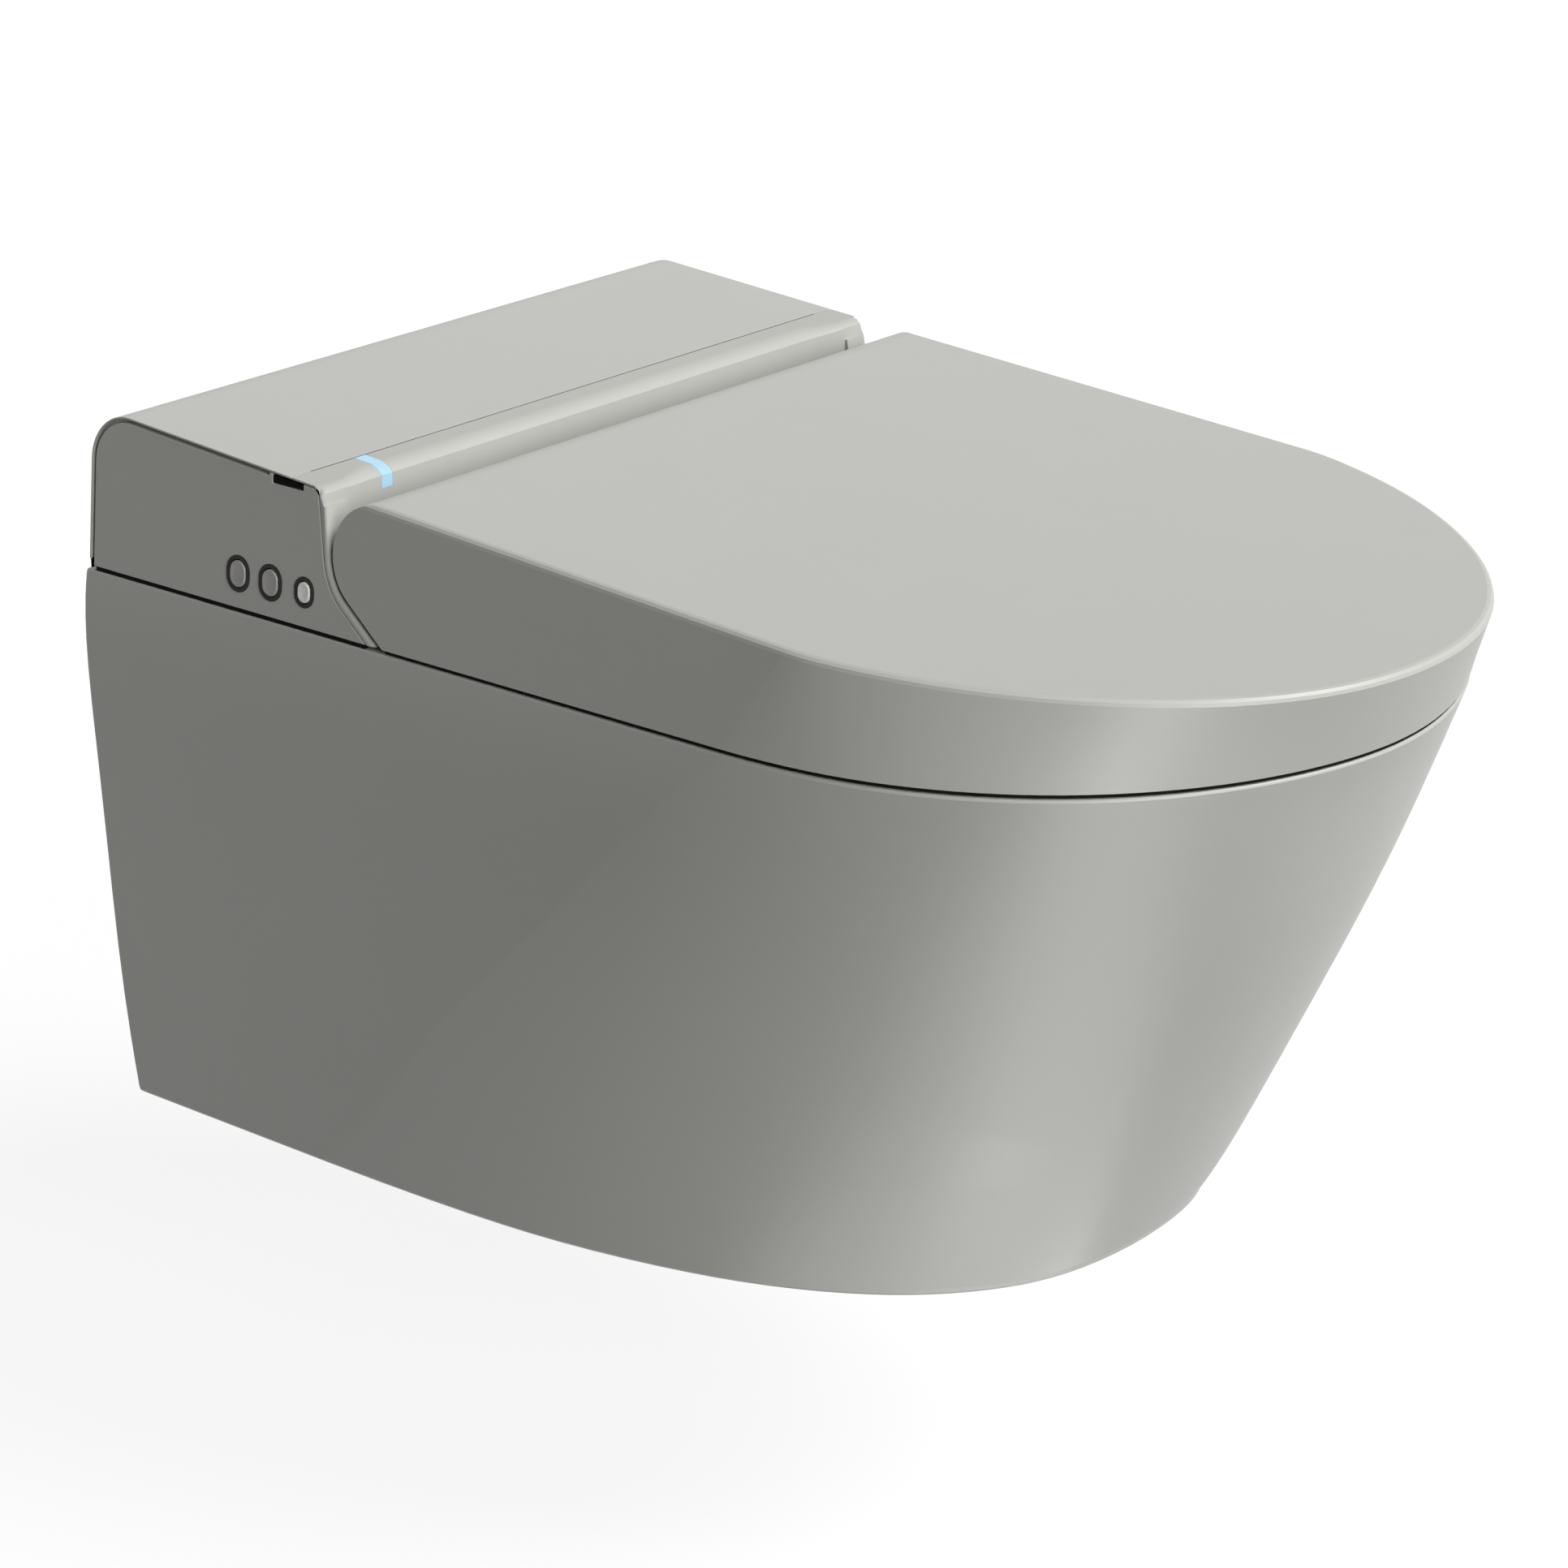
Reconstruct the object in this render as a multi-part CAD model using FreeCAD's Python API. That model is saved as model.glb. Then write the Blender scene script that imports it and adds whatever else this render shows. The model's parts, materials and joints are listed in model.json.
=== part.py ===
import FreeCAD, Part
import math
import os

# Wall-hung bidet toilet: a ceramic pan, a washing unit on its rear deck, a heated seat and a lid.
# Millimetres. +Z is up, the wall is the plane y = 0, the front faces -Y, and the origin is
# midway between the two wall studs on the wall's face. The seated user's right is -X.

os.makedirs("parts", exist_ok=True)
V = FreeCAD.Vector
axis_x = V(1, 0, 0)
axis_y = V(0, 1, 0)
axis_z = V(0, 0, 1)
half = 0.5
both_sides = (-1, 1)

# Overall size: half width of the washing unit and lid at their foot, and the pan's length
side_half_width = 190.8
rim_margin = 0.2
pan_length = 588.0
pan_width = 2 * (side_half_width + rim_margin)
rim_height = 75.0
pan_height = 268.0
pan_wall = 11.0
back_wall = 16.0
deck_thickness = 14.0
rim_round = 1.5
base_round = 4.0
round_steps = 3
overrun = 5.0

# Each row: depth, width, length and straight side as shares of the pan's height, width,
# length and that row's length, then the roundness of the sides and of the front
pan_section_shares = [
    (1.000, 0.917, 0.789, 0.27, 2.4, 2.6),
    (0.765, 0.956, 0.849, 0.37, 2.2, 2.4),
    (0.511, 0.981, 0.905, 0.46, 2.1, 2.3),
    (0.280, 1.003, 0.951, 0.55, 2.05, 2.2),
    (0.104, 1.013, 0.981, 0.61, 2.0, 2.2),
    (0.000, 1.000, 1.000, 0.65, 1.9, 2.2),
]

# Bowl
bowl_side = 64.8
bowl_lip = 53.0
bowl_half_width = side_half_width - bowl_side
bowl_front = pan_length - bowl_lip
bowl_rear = 236.0
bowl_wall = 10.0
bowl_depth = 236.0
bowl_roundness = 2.3
# Each row: depth, half width, and how far the front and the rear have come in, as shares of
# the bowl's depth, half width and length
bowl_section_shares = [
    (1.00, 0.20, 0.72, 0.10),
    (0.86, 0.30, 0.64, 0.06),
    (0.68, 0.50, 0.50, 0.02),
    (0.46, 0.74, 0.27, 0.00),
    (0.24, 0.92, 0.09, 0.00),
    (0.08, 1.00, 0.00, 0.00),
    (0.00, 1.00, 0.00, 0.00),
]

# Trap and outlet
trap_bore = 32.0
trap_wall = 9.0
trap_bend = 48.0
outlet_drop = 100.0
outlet_bore = 46.0
outlet_wall = 9.0
outlet_length = 36.0
gasket_seat = 49.0
dip_depth = 128.0
weir_depth = 18.0
dip_start = 300.0
dip_end = 240.0
weir_front = 175.0
weir_rear = 122.0
outlet_bend_at = 57.0

# Flush inlet
inlet_rise = 35.0
inlet_bore = 20.0
inlet_wall = 8.0
socket_bore = 27.5
socket_length = 35.0

# Wall studs
stud_spacing = 180.0
stud_hole = 11.0
bush_bore = 6.5
well_width = 50.0
well_depth = 44.0
well_drop = 26.0
well_wall = 9.0

# Hinge, lid and seat
unit_gap = 2.2
hinge_rise = 39.1
hinge_from_wall = 182.5
lid_rear_radius = 25.5
lid_slope = 0.0607
lid_width = 2 * side_half_width
lid_overhang = 0.8
lid_length = pan_length + lid_overhang
lid_straight_share = 0.6488
lid_straight = pan_length * lid_straight_share
lid_wall = 4.5
lid_round = 3.0
lid_taper = 0.203
lid_reach = 0.247
lid_straight_gain = 0.6
lid_side_roundness = 1.9
lid_front_roundness = 2.2
lid_side_roundness_top = 2.04
lid_front_roundness_top = 1.75
lip_end_degrees = 45.0
cheek_start_degrees = 5.0
cheek_tangent_degrees = 52.0
pin_radius = 4.0
pin_clearance = 0.05
boss_radius = 10.0

# Washing unit
unit_top_at_wall = 76.5
unit_top_slope = 0.069
unit_from_wall = 2.0
unit_rear_round = 23.0
unit_front = 150.3
nose_front = 147.0
cover_seam = 129.7
seam_gap = 0.6
unit_clearance = 2.4
side_taper = 0.0905
skin = 3.2
lip = 0.8
groove_foot = 2.7
groove_front = 116.0
cap_thickness = 3.5
inner_wall = 2.3
fit_gap = 0.2
slip_gap = 0.3
base_thickness = 3.0
base_margin = 9.0
base_front = 203.0

unit_bottom = rim_height + unit_gap
base_top = unit_bottom + base_thickness
pan_base = rim_height - pan_height
base_half_width = side_half_width - base_margin
hinge_y = -hinge_from_wall
hinge_z = rim_height + hinge_rise
hinge = V(0, hinge_y, hinge_z)
lid_top_at_hinge = hinge_z + lid_rear_radius * math.hypot(1, lid_slope)
stud_x = stud_spacing * half


def box(x0, y0, z0, x1, y1, z1):
    return Part.makeBox(x1 - x0, y1 - y0, z1 - z0, V(x0, y0, z0))


def rod(radius, start, end):
    return Part.makeCylinder(radius, (end - start).Length, start, end - start)


def tube(outer, inner, start, end):
    reach = (end - start).normalize() * overrun
    return rod(outer, start, end).cut(rod(inner, start - reach, end + reach))


def join(shapes):
    whole = shapes[0]
    for shape in shapes[1:]:
        whole = whole.fuse(shape)
    return whole.removeSplitter()


def prism_x(edges, x0, x1):
    # Edges lie in the plane x = 0
    face = Part.Face(Part.Wire(edges))
    face.translate(V(x0, 0, 0))
    return face.extrude(V(x1 - x0, 0, 0))


def polygon_x(points, x0, x1):
    corners = [V(0, y, z) for y, z in points]
    closed = corners + corners[:1]
    return prism_x([Part.makeLine(a, b) for a, b in zip(closed, closed[1:])], x0, x1)


def mirrored(shape):
    return shape.mirror(V(0, 0, 0), axis_x)


def smooth_curve(points, start, end):
    # Cubic through the points, a step apart each, with these tangents at its two ends
    values = [start]
    ratios = [0]
    for i in range(1, len(points) - 1):
        pivot = 1 / (4 - ratios[-1])
        values.append(((points[i + 1] - points[i - 1]) * 3 - values[-1]) * pivot)
        ratios.append(pivot)
    tangents = [end]
    for value, ratio in zip(values[:0:-1], ratios[:0:-1]):
        tangents.append(value - tangents[-1] * ratio)
    tangents.append(start)
    tangents.reverse()
    poles = [points[0]]
    for a, b, leave, arrive in zip(points, points[1:], tangents, tangents[1:]):
        poles += [a + leave / 3, b - arrive / 3]
    poles.append(points[-1])
    spans = len(points) - 1
    curve = Part.BSplineCurve()
    curve.buildFromPolesMultsKnots(poles, [4] + [2] * (spans - 1) + [4], list(range(spans + 1)), False, 3)
    return curve.toShape()


def outline(width, length, straight, side, front, height, slope=0, back=0):
    # Straight sides from the wall, closed at the front by a superellipse; the plane may slope
    steps = 16
    points = []
    for i in range(steps + 1):
        turn = math.pi * i / steps
        c, s = math.cos(turn), math.sin(turn)
        x = -width * half * math.copysign(abs(c) ** (2 / side), c)
        y = -straight - (length - straight) * abs(s) ** (2 / front)
        points.append(V(x, y, height + slope * y))
    pace = (points[1] - points[0]).Length
    along = V(0, -1, -slope) * pace
    front_curve = smooth_curve(points, along, -along)
    left = V(-width * half, -back, height - slope * back)
    right = V(width * half, -back, height - slope * back)
    return Part.Wire([
        Part.makeLine(left, points[0]),
        front_curve,
        Part.makeLine(points[-1], right),
        Part.makeLine(right, left),
    ])


def oval(half_width, front, rear, roundness, height):
    # Closed superellipse across the mid-plane, between two distances from the wall
    steps = 20
    middle = (front + rear) * half
    reach = (front - rear) * half
    points = []
    for i in range(steps):
        turn = 2 * math.pi * i / steps
        c, s = math.cos(turn), math.sin(turn)
        x = half_width * math.copysign(abs(c) ** (2 / roundness), c)
        y = -middle - reach * math.copysign(abs(s) ** (2 / roundness), s)
        points.append(V(x, y, height))
    curve = Part.BSplineCurve()
    curve.interpolate(Points=points, PeriodicFlag=True, Parameters=[float(i) for i in range(steps + 1)])
    return Part.Wire(curve.toShape())


def round_edges(shape, centre):
    # The circular edges about one point
    circles = [e for e in shape.Edges if e.Curve.TypeId == "Part::GeomCircle"]
    return [e for e in circles if (e.Curve.Center - centre).Length < fit_gap]


def rounding(radius):
    # Inset and height left, step by step, of a quarter round that ends in a flat face
    turns = [math.pi * half * i / round_steps for i in range(round_steps + 1)]
    return [(radius * (1 - math.cos(t)), radius * (1 - math.sin(t))) for t in turns]


# Pan


def pan_section(row, inset=0, rise=0):
    depth, width, length, straight, side, front = row
    own_length = pan_length * length
    body_height = pan_height - rim_round - base_round
    level = rim_height - rim_round - body_height * depth + rise
    return outline(pan_width * width - 2 * inset, own_length - inset, own_length * straight, side, front,
                   level, back=-overrun)


def pan_block(inset):
    return Part.makeLoft([pan_section(row, inset) for row in pan_section_shares], True, False)


def pan_edge(row, radius, up):
    # The rounded edge that closes the pan at its rim or at its base
    rings = [pan_section(row, inset, up * (radius - left)) for inset, left in rounding(radius)]
    return Part.makeLoft(rings, True, True)


def bowl_shape(wall):
    length = bowl_front - bowl_rear
    rings = []
    for depth, width, front_in, rear_in in bowl_section_shares:
        front = bowl_front - length * front_in + wall
        rear = bowl_rear + length * rear_in - wall
        floor = wall if depth == 1 else 0
        height = rim_height - bowl_depth * depth - floor
        rings.append(oval(bowl_half_width * width + wall, front, rear, bowl_roundness, height))
    return Part.makeLoft(rings, True, False)


def rounded_path(points, bend):
    # Straight runs joined by tangent arcs
    edges = []
    last = points[0]
    for before, corner, after in zip(points, points[1:], points[2:]):
        back_way = (before - corner).normalize()
        on_way = (after - corner).normalize()
        turn = math.pi - back_way.getAngle(on_way)
        cut = bend * math.tan(turn * half)
        start = corner + back_way * cut
        end = corner + on_way * cut
        inward = (back_way + on_way).normalize()
        middle = corner + inward * (bend / math.cos(turn * half) - bend)
        edges.append(Part.makeLine(last, start))
        edges.append(Part.Arc(start, middle, end).toShape())
        last = end
    edges.append(Part.makeLine(last, points[-1]))
    return Part.Wire(edges)


def swept(radius, path):
    start = path.Edges[0]
    place = start.valueAt(start.FirstParameter)
    ring = Part.Wire(Part.makeCircle(radius, place, start.tangentAt(start.FirstParameter)))
    return path.makePipeShell([ring], True, False)


trap_route = rounded_path([
    V(0, -dip_start, -dip_depth),
    V(0, -dip_end, -dip_depth),
    V(0, -weir_front, -weir_depth),
    V(0, -weir_rear, -weir_depth),
    V(0, -outlet_bend_at, -outlet_drop),
    V(0, -outlet_length * half, -outlet_drop),
], trap_bend)

# Nozzle line: a straight slope forward and down through the rear of the seat opening
nozzle_slope = math.radians(10)
nozzle_from_wall = 165.0
nozzle_rise = 5.5
nozzle_ref = V(0, -nozzle_from_wall, rim_height + nozzle_rise)
nozzle_way = V(0, -math.cos(nozzle_slope), -math.sin(nozzle_slope))
nozzle_up = V(0, -math.sin(nozzle_slope), math.cos(nozzle_slope))
nozzle_radius = 6.5
nozzle_bore = 4.0
nozzle_rear = -142.0
nozzle_tip_start = 22.0
nozzle_end = 38.0
jet_radius = 0.7

deck_notch_half = 34.0
deck_notch_rear = 132.0
deck_notch_depth = 15.5
deck_notch_wall = 8.0
fixing_spacing = 100.0
fixing_from_wall = 78.0
fixing_hole = 7.0
gasket_bore = 38.0
gasket_thickness = 6.0


def stud_well(x, wall):
    reach = well_width * half + wall
    front = -back_wall - well_depth - wall
    top = rim_height + overrun if wall == 0 else rim_height - deck_thickness * half
    return box(x - reach, front, -well_drop - wall, x + reach, -back_wall * half, top)


def deck_notch(wall):
    # Trough in the deck under the nozzle, open to the bowl
    reach = deck_notch_half + wall
    top = rim_height + overrun if wall == 0 else rim_height - deck_thickness * half
    return box(-reach, -bowl_rear - overrun, rim_height - deck_notch_depth - wall, reach,
               -deck_notch_rear + wall, top)


def ceramic_pan():
    below_rim = pan_section_shares[-1]
    above_base = pan_section_shares[0]
    body = pan_block(0).fuse(pan_edge(below_rim, rim_round, 1)).fuse(pan_edge(above_base, base_round, -1))
    wide = pan_width
    core = pan_block(pan_wall).common(
        box(-wide, -pan_length, pan_base + pan_wall, wide, -back_wall, rim_height - deck_thickness))
    inlet_far = V(0, -bowl_rear, inlet_rise)
    inlet_wall_point = V(0, 0, inlet_rise)
    outlet_point = V(0, 0, -outlet_drop)
    kept = [
        bowl_shape(bowl_wall),
        swept(trap_bore + trap_wall, trap_route),
        rod(inlet_bore + inlet_wall, inlet_far, inlet_wall_point),
        rod(socket_bore + inlet_wall, V(0, -socket_length - inlet_wall, inlet_rise), inlet_wall_point),
        rod(gasket_seat + outlet_wall, V(0, -outlet_length - 2 * outlet_wall, -outlet_drop), outlet_point),
        stud_well(-stud_x, well_wall),
        stud_well(stud_x, well_wall),
        deck_notch(deck_notch_wall),
    ]
    for solid in kept:
        core = core.cut(solid)
    body = body.cut(core)
    past_wall = V(0, overrun, 0)
    inside_bowl = V(0, -bowl_wall - overrun, 0)
    cuts = [
        bowl_shape(0),
        swept(trap_bore, trap_route),
        rod(inlet_bore, inlet_far + inside_bowl, inlet_wall_point),
        rod(socket_bore, V(0, -socket_length, inlet_rise), inlet_wall_point + past_wall),
        rod(outlet_bore, V(0, -outlet_length, -outlet_drop), outlet_point + past_wall),
        rod(gasket_seat, V(0, -outlet_length - gasket_thickness, -outlet_drop),
            V(0, -outlet_length, -outlet_drop)),
        box(-wide, 0, pan_base - overrun, wide, 2 * overrun, rim_height + overrun),
        stud_well(-stud_x, 0),
        stud_well(stud_x, 0),
        deck_notch(0),
    ]
    for side in both_sides:
        cuts.append(rod(stud_hole, V(side * stud_x, -back_wall - overrun, 0), V(side * stud_x, overrun, 0)))
        hole = V(side * fixing_spacing * half, -fixing_from_wall, rim_height - deck_thickness - overrun)
        cuts.append(rod(fixing_hole, hole, hole + V(0, 0, deck_thickness + 2 * overrun)))
    for solid in cuts:
        body = body.cut(solid)
    return body


# Wall fixings and pipe seals
washer_radius = 18.0
washer_thickness = 3.0
nut_across_flats = 19.0
nut_thickness = 10.0
flange_thickness = 3.0
flange_radius = 17.0
stud_clearance = 0.3
grommet_bore = 22.6
lip_depth = 4.0


def on_studs(shape):
    return Part.Compound([shape.translated(V(side * stud_x, 0, 0)) for side in both_sides])


def wall_bushes():
    inside = -back_wall
    sleeve = rod(stud_hole - fit_gap, V(0, inside, 0), V(0, 0, 0))
    flange = rod(flange_radius, V(0, inside - flange_thickness, 0), V(0, inside, 0))
    bore = rod(bush_bore, V(0, inside - flange_thickness - overrun, 0), V(0, overrun, 0))
    return on_studs(sleeve.fuse(flange).cut(bore))


def wall_washers():
    face = -back_wall - flange_thickness
    return on_studs(tube(washer_radius, bush_bore, V(0, face - washer_thickness, 0), V(0, face, 0)))


def hexagon(across_flats, thickness, start, way):
    corner = across_flats * half / math.cos(math.pi / 6)
    points = [V(corner * math.cos(math.pi * k / 3), corner * math.sin(math.pi * k / 3), 0) for k in range(7)]
    solid = Part.Face(Part.makePolygon(points)).extrude(V(0, 0, thickness))
    solid.Placement = FreeCAD.Placement(start, FreeCAD.Rotation(axis_z, way))
    return solid


def wall_nuts():
    face = -back_wall - flange_thickness - washer_thickness
    nut = hexagon(nut_across_flats, nut_thickness, V(0, face, 0), -axis_y)
    bore = rod(bush_bore - stud_clearance, V(0, face - nut_thickness - overrun, 0), V(0, face + overrun, 0))
    return on_studs(nut.cut(bore))


def inlet_grommet():
    inner = V(0, -socket_length, inlet_rise)
    sleeve = tube(socket_bore - fit_gap, grommet_bore, inner, V(0, 0, inlet_rise))
    lip = tube(socket_bore - fit_gap, inlet_bore, inner, inner + V(0, lip_depth, 0))
    return sleeve.fuse(lip)


def outlet_gasket():
    start = V(0, -outlet_length - gasket_thickness, -outlet_drop)
    return tube(gasket_seat - fit_gap, gasket_bore, start, start + V(0, gasket_thickness, 0))


# Base plate of the washing unit, with the hinge towers
lid_boss_side = 18.8
lid_boss_width = 13.0
tower_gap = 1.0
tower_width = 12.0
arm_gap = 1.5
seat_boss_width = 19.5
damper_gap = 3.0
damper_length = 70.0
lid_boss_end = side_half_width - lid_boss_side
lid_boss_start = lid_boss_end - lid_boss_width
tower_end = lid_boss_start - tower_gap
tower_start = tower_end - tower_width
seat_boss_end = tower_start - arm_gap
seat_boss_start = seat_boss_end - seat_boss_width
damper_end = seat_boss_start - damper_gap
damper_start = damper_end - damper_length
tower_front = 12.0
tower_rear = 6.0
damper_radius = 9.0
saddle_width = 8.0
nozzle_slot_half = 12.5
nozzle_slot_rear = 106.0
bolt_radius = 3.0
bolt_clearance = 0.4
screw_side = 21.8
screw_x = side_half_width - screw_side
screw_places = [(screw_x, 16.0), (screw_x, 62.0)]
screw_radius = 1.8
screw_length = 12.0
screw_sink = 0.5


def hinge_point(x):
    return V(x, hinge_y, hinge_z)


def post(x0, x1, radius, front, rear):
    # A post from the base plate up to a round head on the hinge line
    foot = polygon_x([
        (hinge_y - front, base_top - base_thickness * half),
        (hinge_y - radius, hinge_z),
        (hinge_y + rear, hinge_z),
        (hinge_y + rear, base_top - base_thickness * half),
    ], x0, x1)
    return foot.fuse(rod(radius, hinge_point(x0), hinge_point(x1)))


def base_plate():
    plate = box(-base_half_width, -base_front, unit_bottom, base_half_width,
                -unit_from_wall - skin - slip_gap, base_top)
    parts = [plate]
    for side in both_sides:
        ends = sorted((side * tower_start, side * tower_end))
        tower = post(ends[0], ends[1], boss_radius, tower_front, tower_rear)
        tower = tower.cut(rod(pin_radius, hinge_point(ends[0] - overrun), hinge_point(ends[1] + overrun)))
        parts.append(tower)
        for x in (damper_start, damper_end - saddle_width):
            ends = sorted((side * x, side * (x + saddle_width)))
            saddle = polygon_x([
                (hinge_y - tower_front, base_top - base_thickness * half),
                (hinge_y - tower_front, hinge_z),
                (hinge_y + tower_rear, hinge_z),
                (hinge_y + tower_rear, base_top - base_thickness * half),
            ], ends[0], ends[1])
            reach = rod(damper_radius, hinge_point(ends[0] - overrun), hinge_point(ends[1] + overrun))
            parts.append(saddle.cut(reach))
    plate = join(parts)
    plate = plate.cut(box(-nozzle_slot_half, -base_front - overrun, unit_bottom - overrun, nozzle_slot_half,
                          -nozzle_slot_rear, base_top + overrun))
    through = V(0, 0, base_thickness + 2 * overrun)
    for side in both_sides:
        start = V(side * fixing_spacing * half, -fixing_from_wall, unit_bottom - overrun)
        plate = plate.cut(rod(bolt_radius + bolt_clearance, start, start + through))
        for x, from_wall in screw_places:
            start = V(side * x, -from_wall, unit_bottom - overrun)
            seat = V(0, 0, overrun + screw_sink + base_thickness * half)
            plate = plate.cut(rod(screw_radius, start, start + through))
            plate = plate.cut(rod(2 * screw_radius, start, start + seat))
    return plate


pad_radius = 9.0
pad_side = 25.8
pad_x = side_half_width - pad_side
pad_places = [(pad_x, 22.0), (pad_x, 150.0), (62.0, 150.0)]


def base_pads():
    pads = []
    for x, from_wall in pad_places:
        for side in both_sides:
            start = V(side * x, -from_wall, rim_height)
            pads.append(rod(pad_radius, start, start + V(0, 0, unit_gap)))
    return Part.Compound(pads)


head_radius = 6.0
head_height = 4.0
bolt_length = 30.0
plug_length = 22.0
plug_radius = 9.0


def on_fixings(shape):
    x = fixing_spacing * half
    return Part.Compound([shape.translated(V(side * x, -fixing_from_wall, 0)) for side in both_sides])


def fixing_bolts():
    top = V(0, 0, base_top)
    head = rod(head_radius, top, top + V(0, 0, head_height))
    shank = rod(bolt_radius, top - V(0, 0, bolt_length), top)
    return on_fixings(head.fuse(shank))


def expansion_plugs():
    top = V(0, 0, rim_height)
    sleeve = rod(fixing_hole - fit_gap, top - V(0, 0, plug_length), top)
    below = top - V(0, 0, deck_thickness + fit_gap)
    swell = below.z - rim_height + plug_length
    bulge = Part.makeCone(fixing_hole - fit_gap, plug_radius, swell, below, -axis_z)
    bore = rod(bolt_radius, top - V(0, 0, plug_length + overrun), top + V(0, 0, overrun))
    return on_fixings(sleeve.fuse(bulge).cut(bore))


# Shells of the washing unit


def unit_top(y):
    return rim_height + unit_top_at_wall + unit_top_slope * y


def cheek_gap_line(radius):
    # Where the front of the unit runs round the lid's rear arc: the end of the arc and of its tangent
    turn = math.radians(cheek_tangent_degrees)
    end = V(0, hinge_y + radius * math.cos(turn), hinge_z - radius * math.sin(turn))
    drop = end.z - unit_bottom
    foot = V(0, end.y - drop * math.tan(turn), unit_bottom)
    return end, foot


def side_face_edges(inset, front_inset):
    # Side view of the unit, its rear and top brought in by inset and its front by front_inset
    rear = -unit_from_wall - inset
    radius = unit_rear_round - inset
    lean = math.atan(unit_top_slope)
    drop = inset / math.cos(lean)
    centre_y = -unit_from_wall - unit_rear_round
    centre_z = unit_top(centre_y) - unit_rear_round / math.cos(lean)
    top_end = V(0, centre_y - radius * math.sin(lean), centre_z + radius * math.cos(lean))
    side_end = V(0, rear, centre_z)
    turn = (math.pi * half + lean) * half
    middle = V(0, centre_y + radius * math.cos(turn), centre_z + radius * math.sin(turn))
    front_y = -unit_front + front_inset
    front_top = V(0, front_y, unit_top(front_y) - drop)
    arc_radius = lid_rear_radius + unit_clearance + front_inset
    turn = math.radians(cheek_start_degrees)
    start = V(0, hinge_y + arc_radius * math.cos(turn), hinge_z - arc_radius * math.sin(turn))
    end, foot = cheek_gap_line(arc_radius)
    turn = math.radians(cheek_tangent_degrees * half)
    arc_middle = V(0, hinge_y + arc_radius * math.cos(turn), hinge_z - arc_radius * math.sin(turn))
    rear_foot = V(0, rear, unit_bottom)
    return [
        Part.makeLine(rear_foot, side_end),
        Part.Arc(side_end, middle, top_end).toShape(),
        Part.makeLine(top_end, front_top),
        Part.makeLine(front_top, start),
        Part.Arc(start, arc_middle, end).toShape(),
        Part.makeLine(end, foot),
        Part.makeLine(foot, rear_foot),
    ]


def wedge(inset):
    # The space between the unit's two leaning sides
    low = side_half_width - inset
    rise = unit_top_at_wall + overrun
    high = low - side_taper * (rise - unit_gap)
    y = -hinge_from_wall - lid_rear_radius
    corners = [V(-low, y, unit_bottom), V(low, y, unit_bottom), V(high, y, rim_height + rise),
               V(-high, y, rim_height + rise)]
    return Part.Face(Part.makePolygon(corners + corners[:1])).extrude(V(0, -y, 0))


def unit_block(inset, side_inset, front_inset=0):
    wide = side_half_width + overrun
    return prism_x(side_face_edges(inset, front_inset), -wide, wide).common(wedge(side_inset))


nose_round = 12.0
nose_end_round = 8.0
nose_crease_degrees = 50.0
nose_flat_side = 42.8
nose_turn_side = 18.8
nose_flat_half = side_half_width - nose_flat_side
nose_turn_half = side_half_width - nose_turn_side


def nose_edges(front, radius, x):
    # Upper front of the unit in side view, at one place across: top, rounding, crease, upright face
    lean = math.atan(unit_top_slope)
    crease = math.radians(nose_crease_degrees)
    back = -cover_seam + 2 * overrun
    centre_y = -front + radius * math.sin(crease)
    centre_z = unit_top(centre_y) - radius / math.cos(lean)
    top_end = V(x, centre_y - radius * math.sin(lean), centre_z + radius * math.cos(lean))
    face_end = V(x, -front, centre_z + radius * math.cos(crease))
    turn = (lean + crease) * half
    middle = V(x, centre_y - radius * math.sin(turn), centre_z + radius * math.cos(turn))
    points = [V(x, back, unit_top(back)), V(x, back, unit_bottom), V(x, -front, unit_bottom)]
    return Part.Wire([
        Part.makeLine(points[0], top_end),
        Part.Arc(top_end, middle, face_end).toShape(),
        Part.makeLine(face_end, points[2]),
        Part.makeLine(points[2], points[1]),
        Part.makeLine(points[1], points[0]),
    ])


def nose_block(inset):
    middle = Part.Face(nose_edges(nose_front - inset, nose_round - inset, -nose_flat_half))
    parts = [middle.extrude(V(2 * nose_flat_half, 0, 0))]
    share_steps = (0, 0.25, 0.5, 0.75, 1)
    rings = []
    for share in share_steps:
        ease = share * share * (3 - 2 * share)
        front = nose_front + (unit_front - nose_front) * ease - inset
        radius = nose_round + (nose_end_round - nose_round) * ease - inset * (1 - share * half)
        rings.append(nose_edges(front, radius, nose_flat_half + (nose_turn_half - nose_flat_half) * share))
    turn = Part.makeLoft(rings, True, True)
    end = Part.Face(rings[-1]).extrude(V(side_half_width - nose_turn_half + overrun, 0, 0))
    for piece in (turn, end):
        parts.append(piece)
        parts.append(mirrored(piece))
    block = join(parts)
    return block.translated(V(0, 0, -inset))


def before_nose(inset):
    # The space over and before the nose's rounded corner, the nose brought in by inset
    wide = side_half_width + overrun
    corner = box(-wide, -unit_front - overrun, unit_top(-nose_front) - nose_round, wide, -cover_seam,
                 unit_top(0) + overrun)
    return corner.cut(nose_block(inset))


blower_side = 86.8
blower_x = side_half_width - blower_side
duct_left = 62.0
duct_right_reach = 8.0
duct_right = blower_x + duct_right_reach
duct_height = 9.0
duct_wall = 1.5
duct_past_hinge = 13.5
duct_mouth = hinge_from_wall + duct_past_hinge
port_clearance = 1.0


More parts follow.
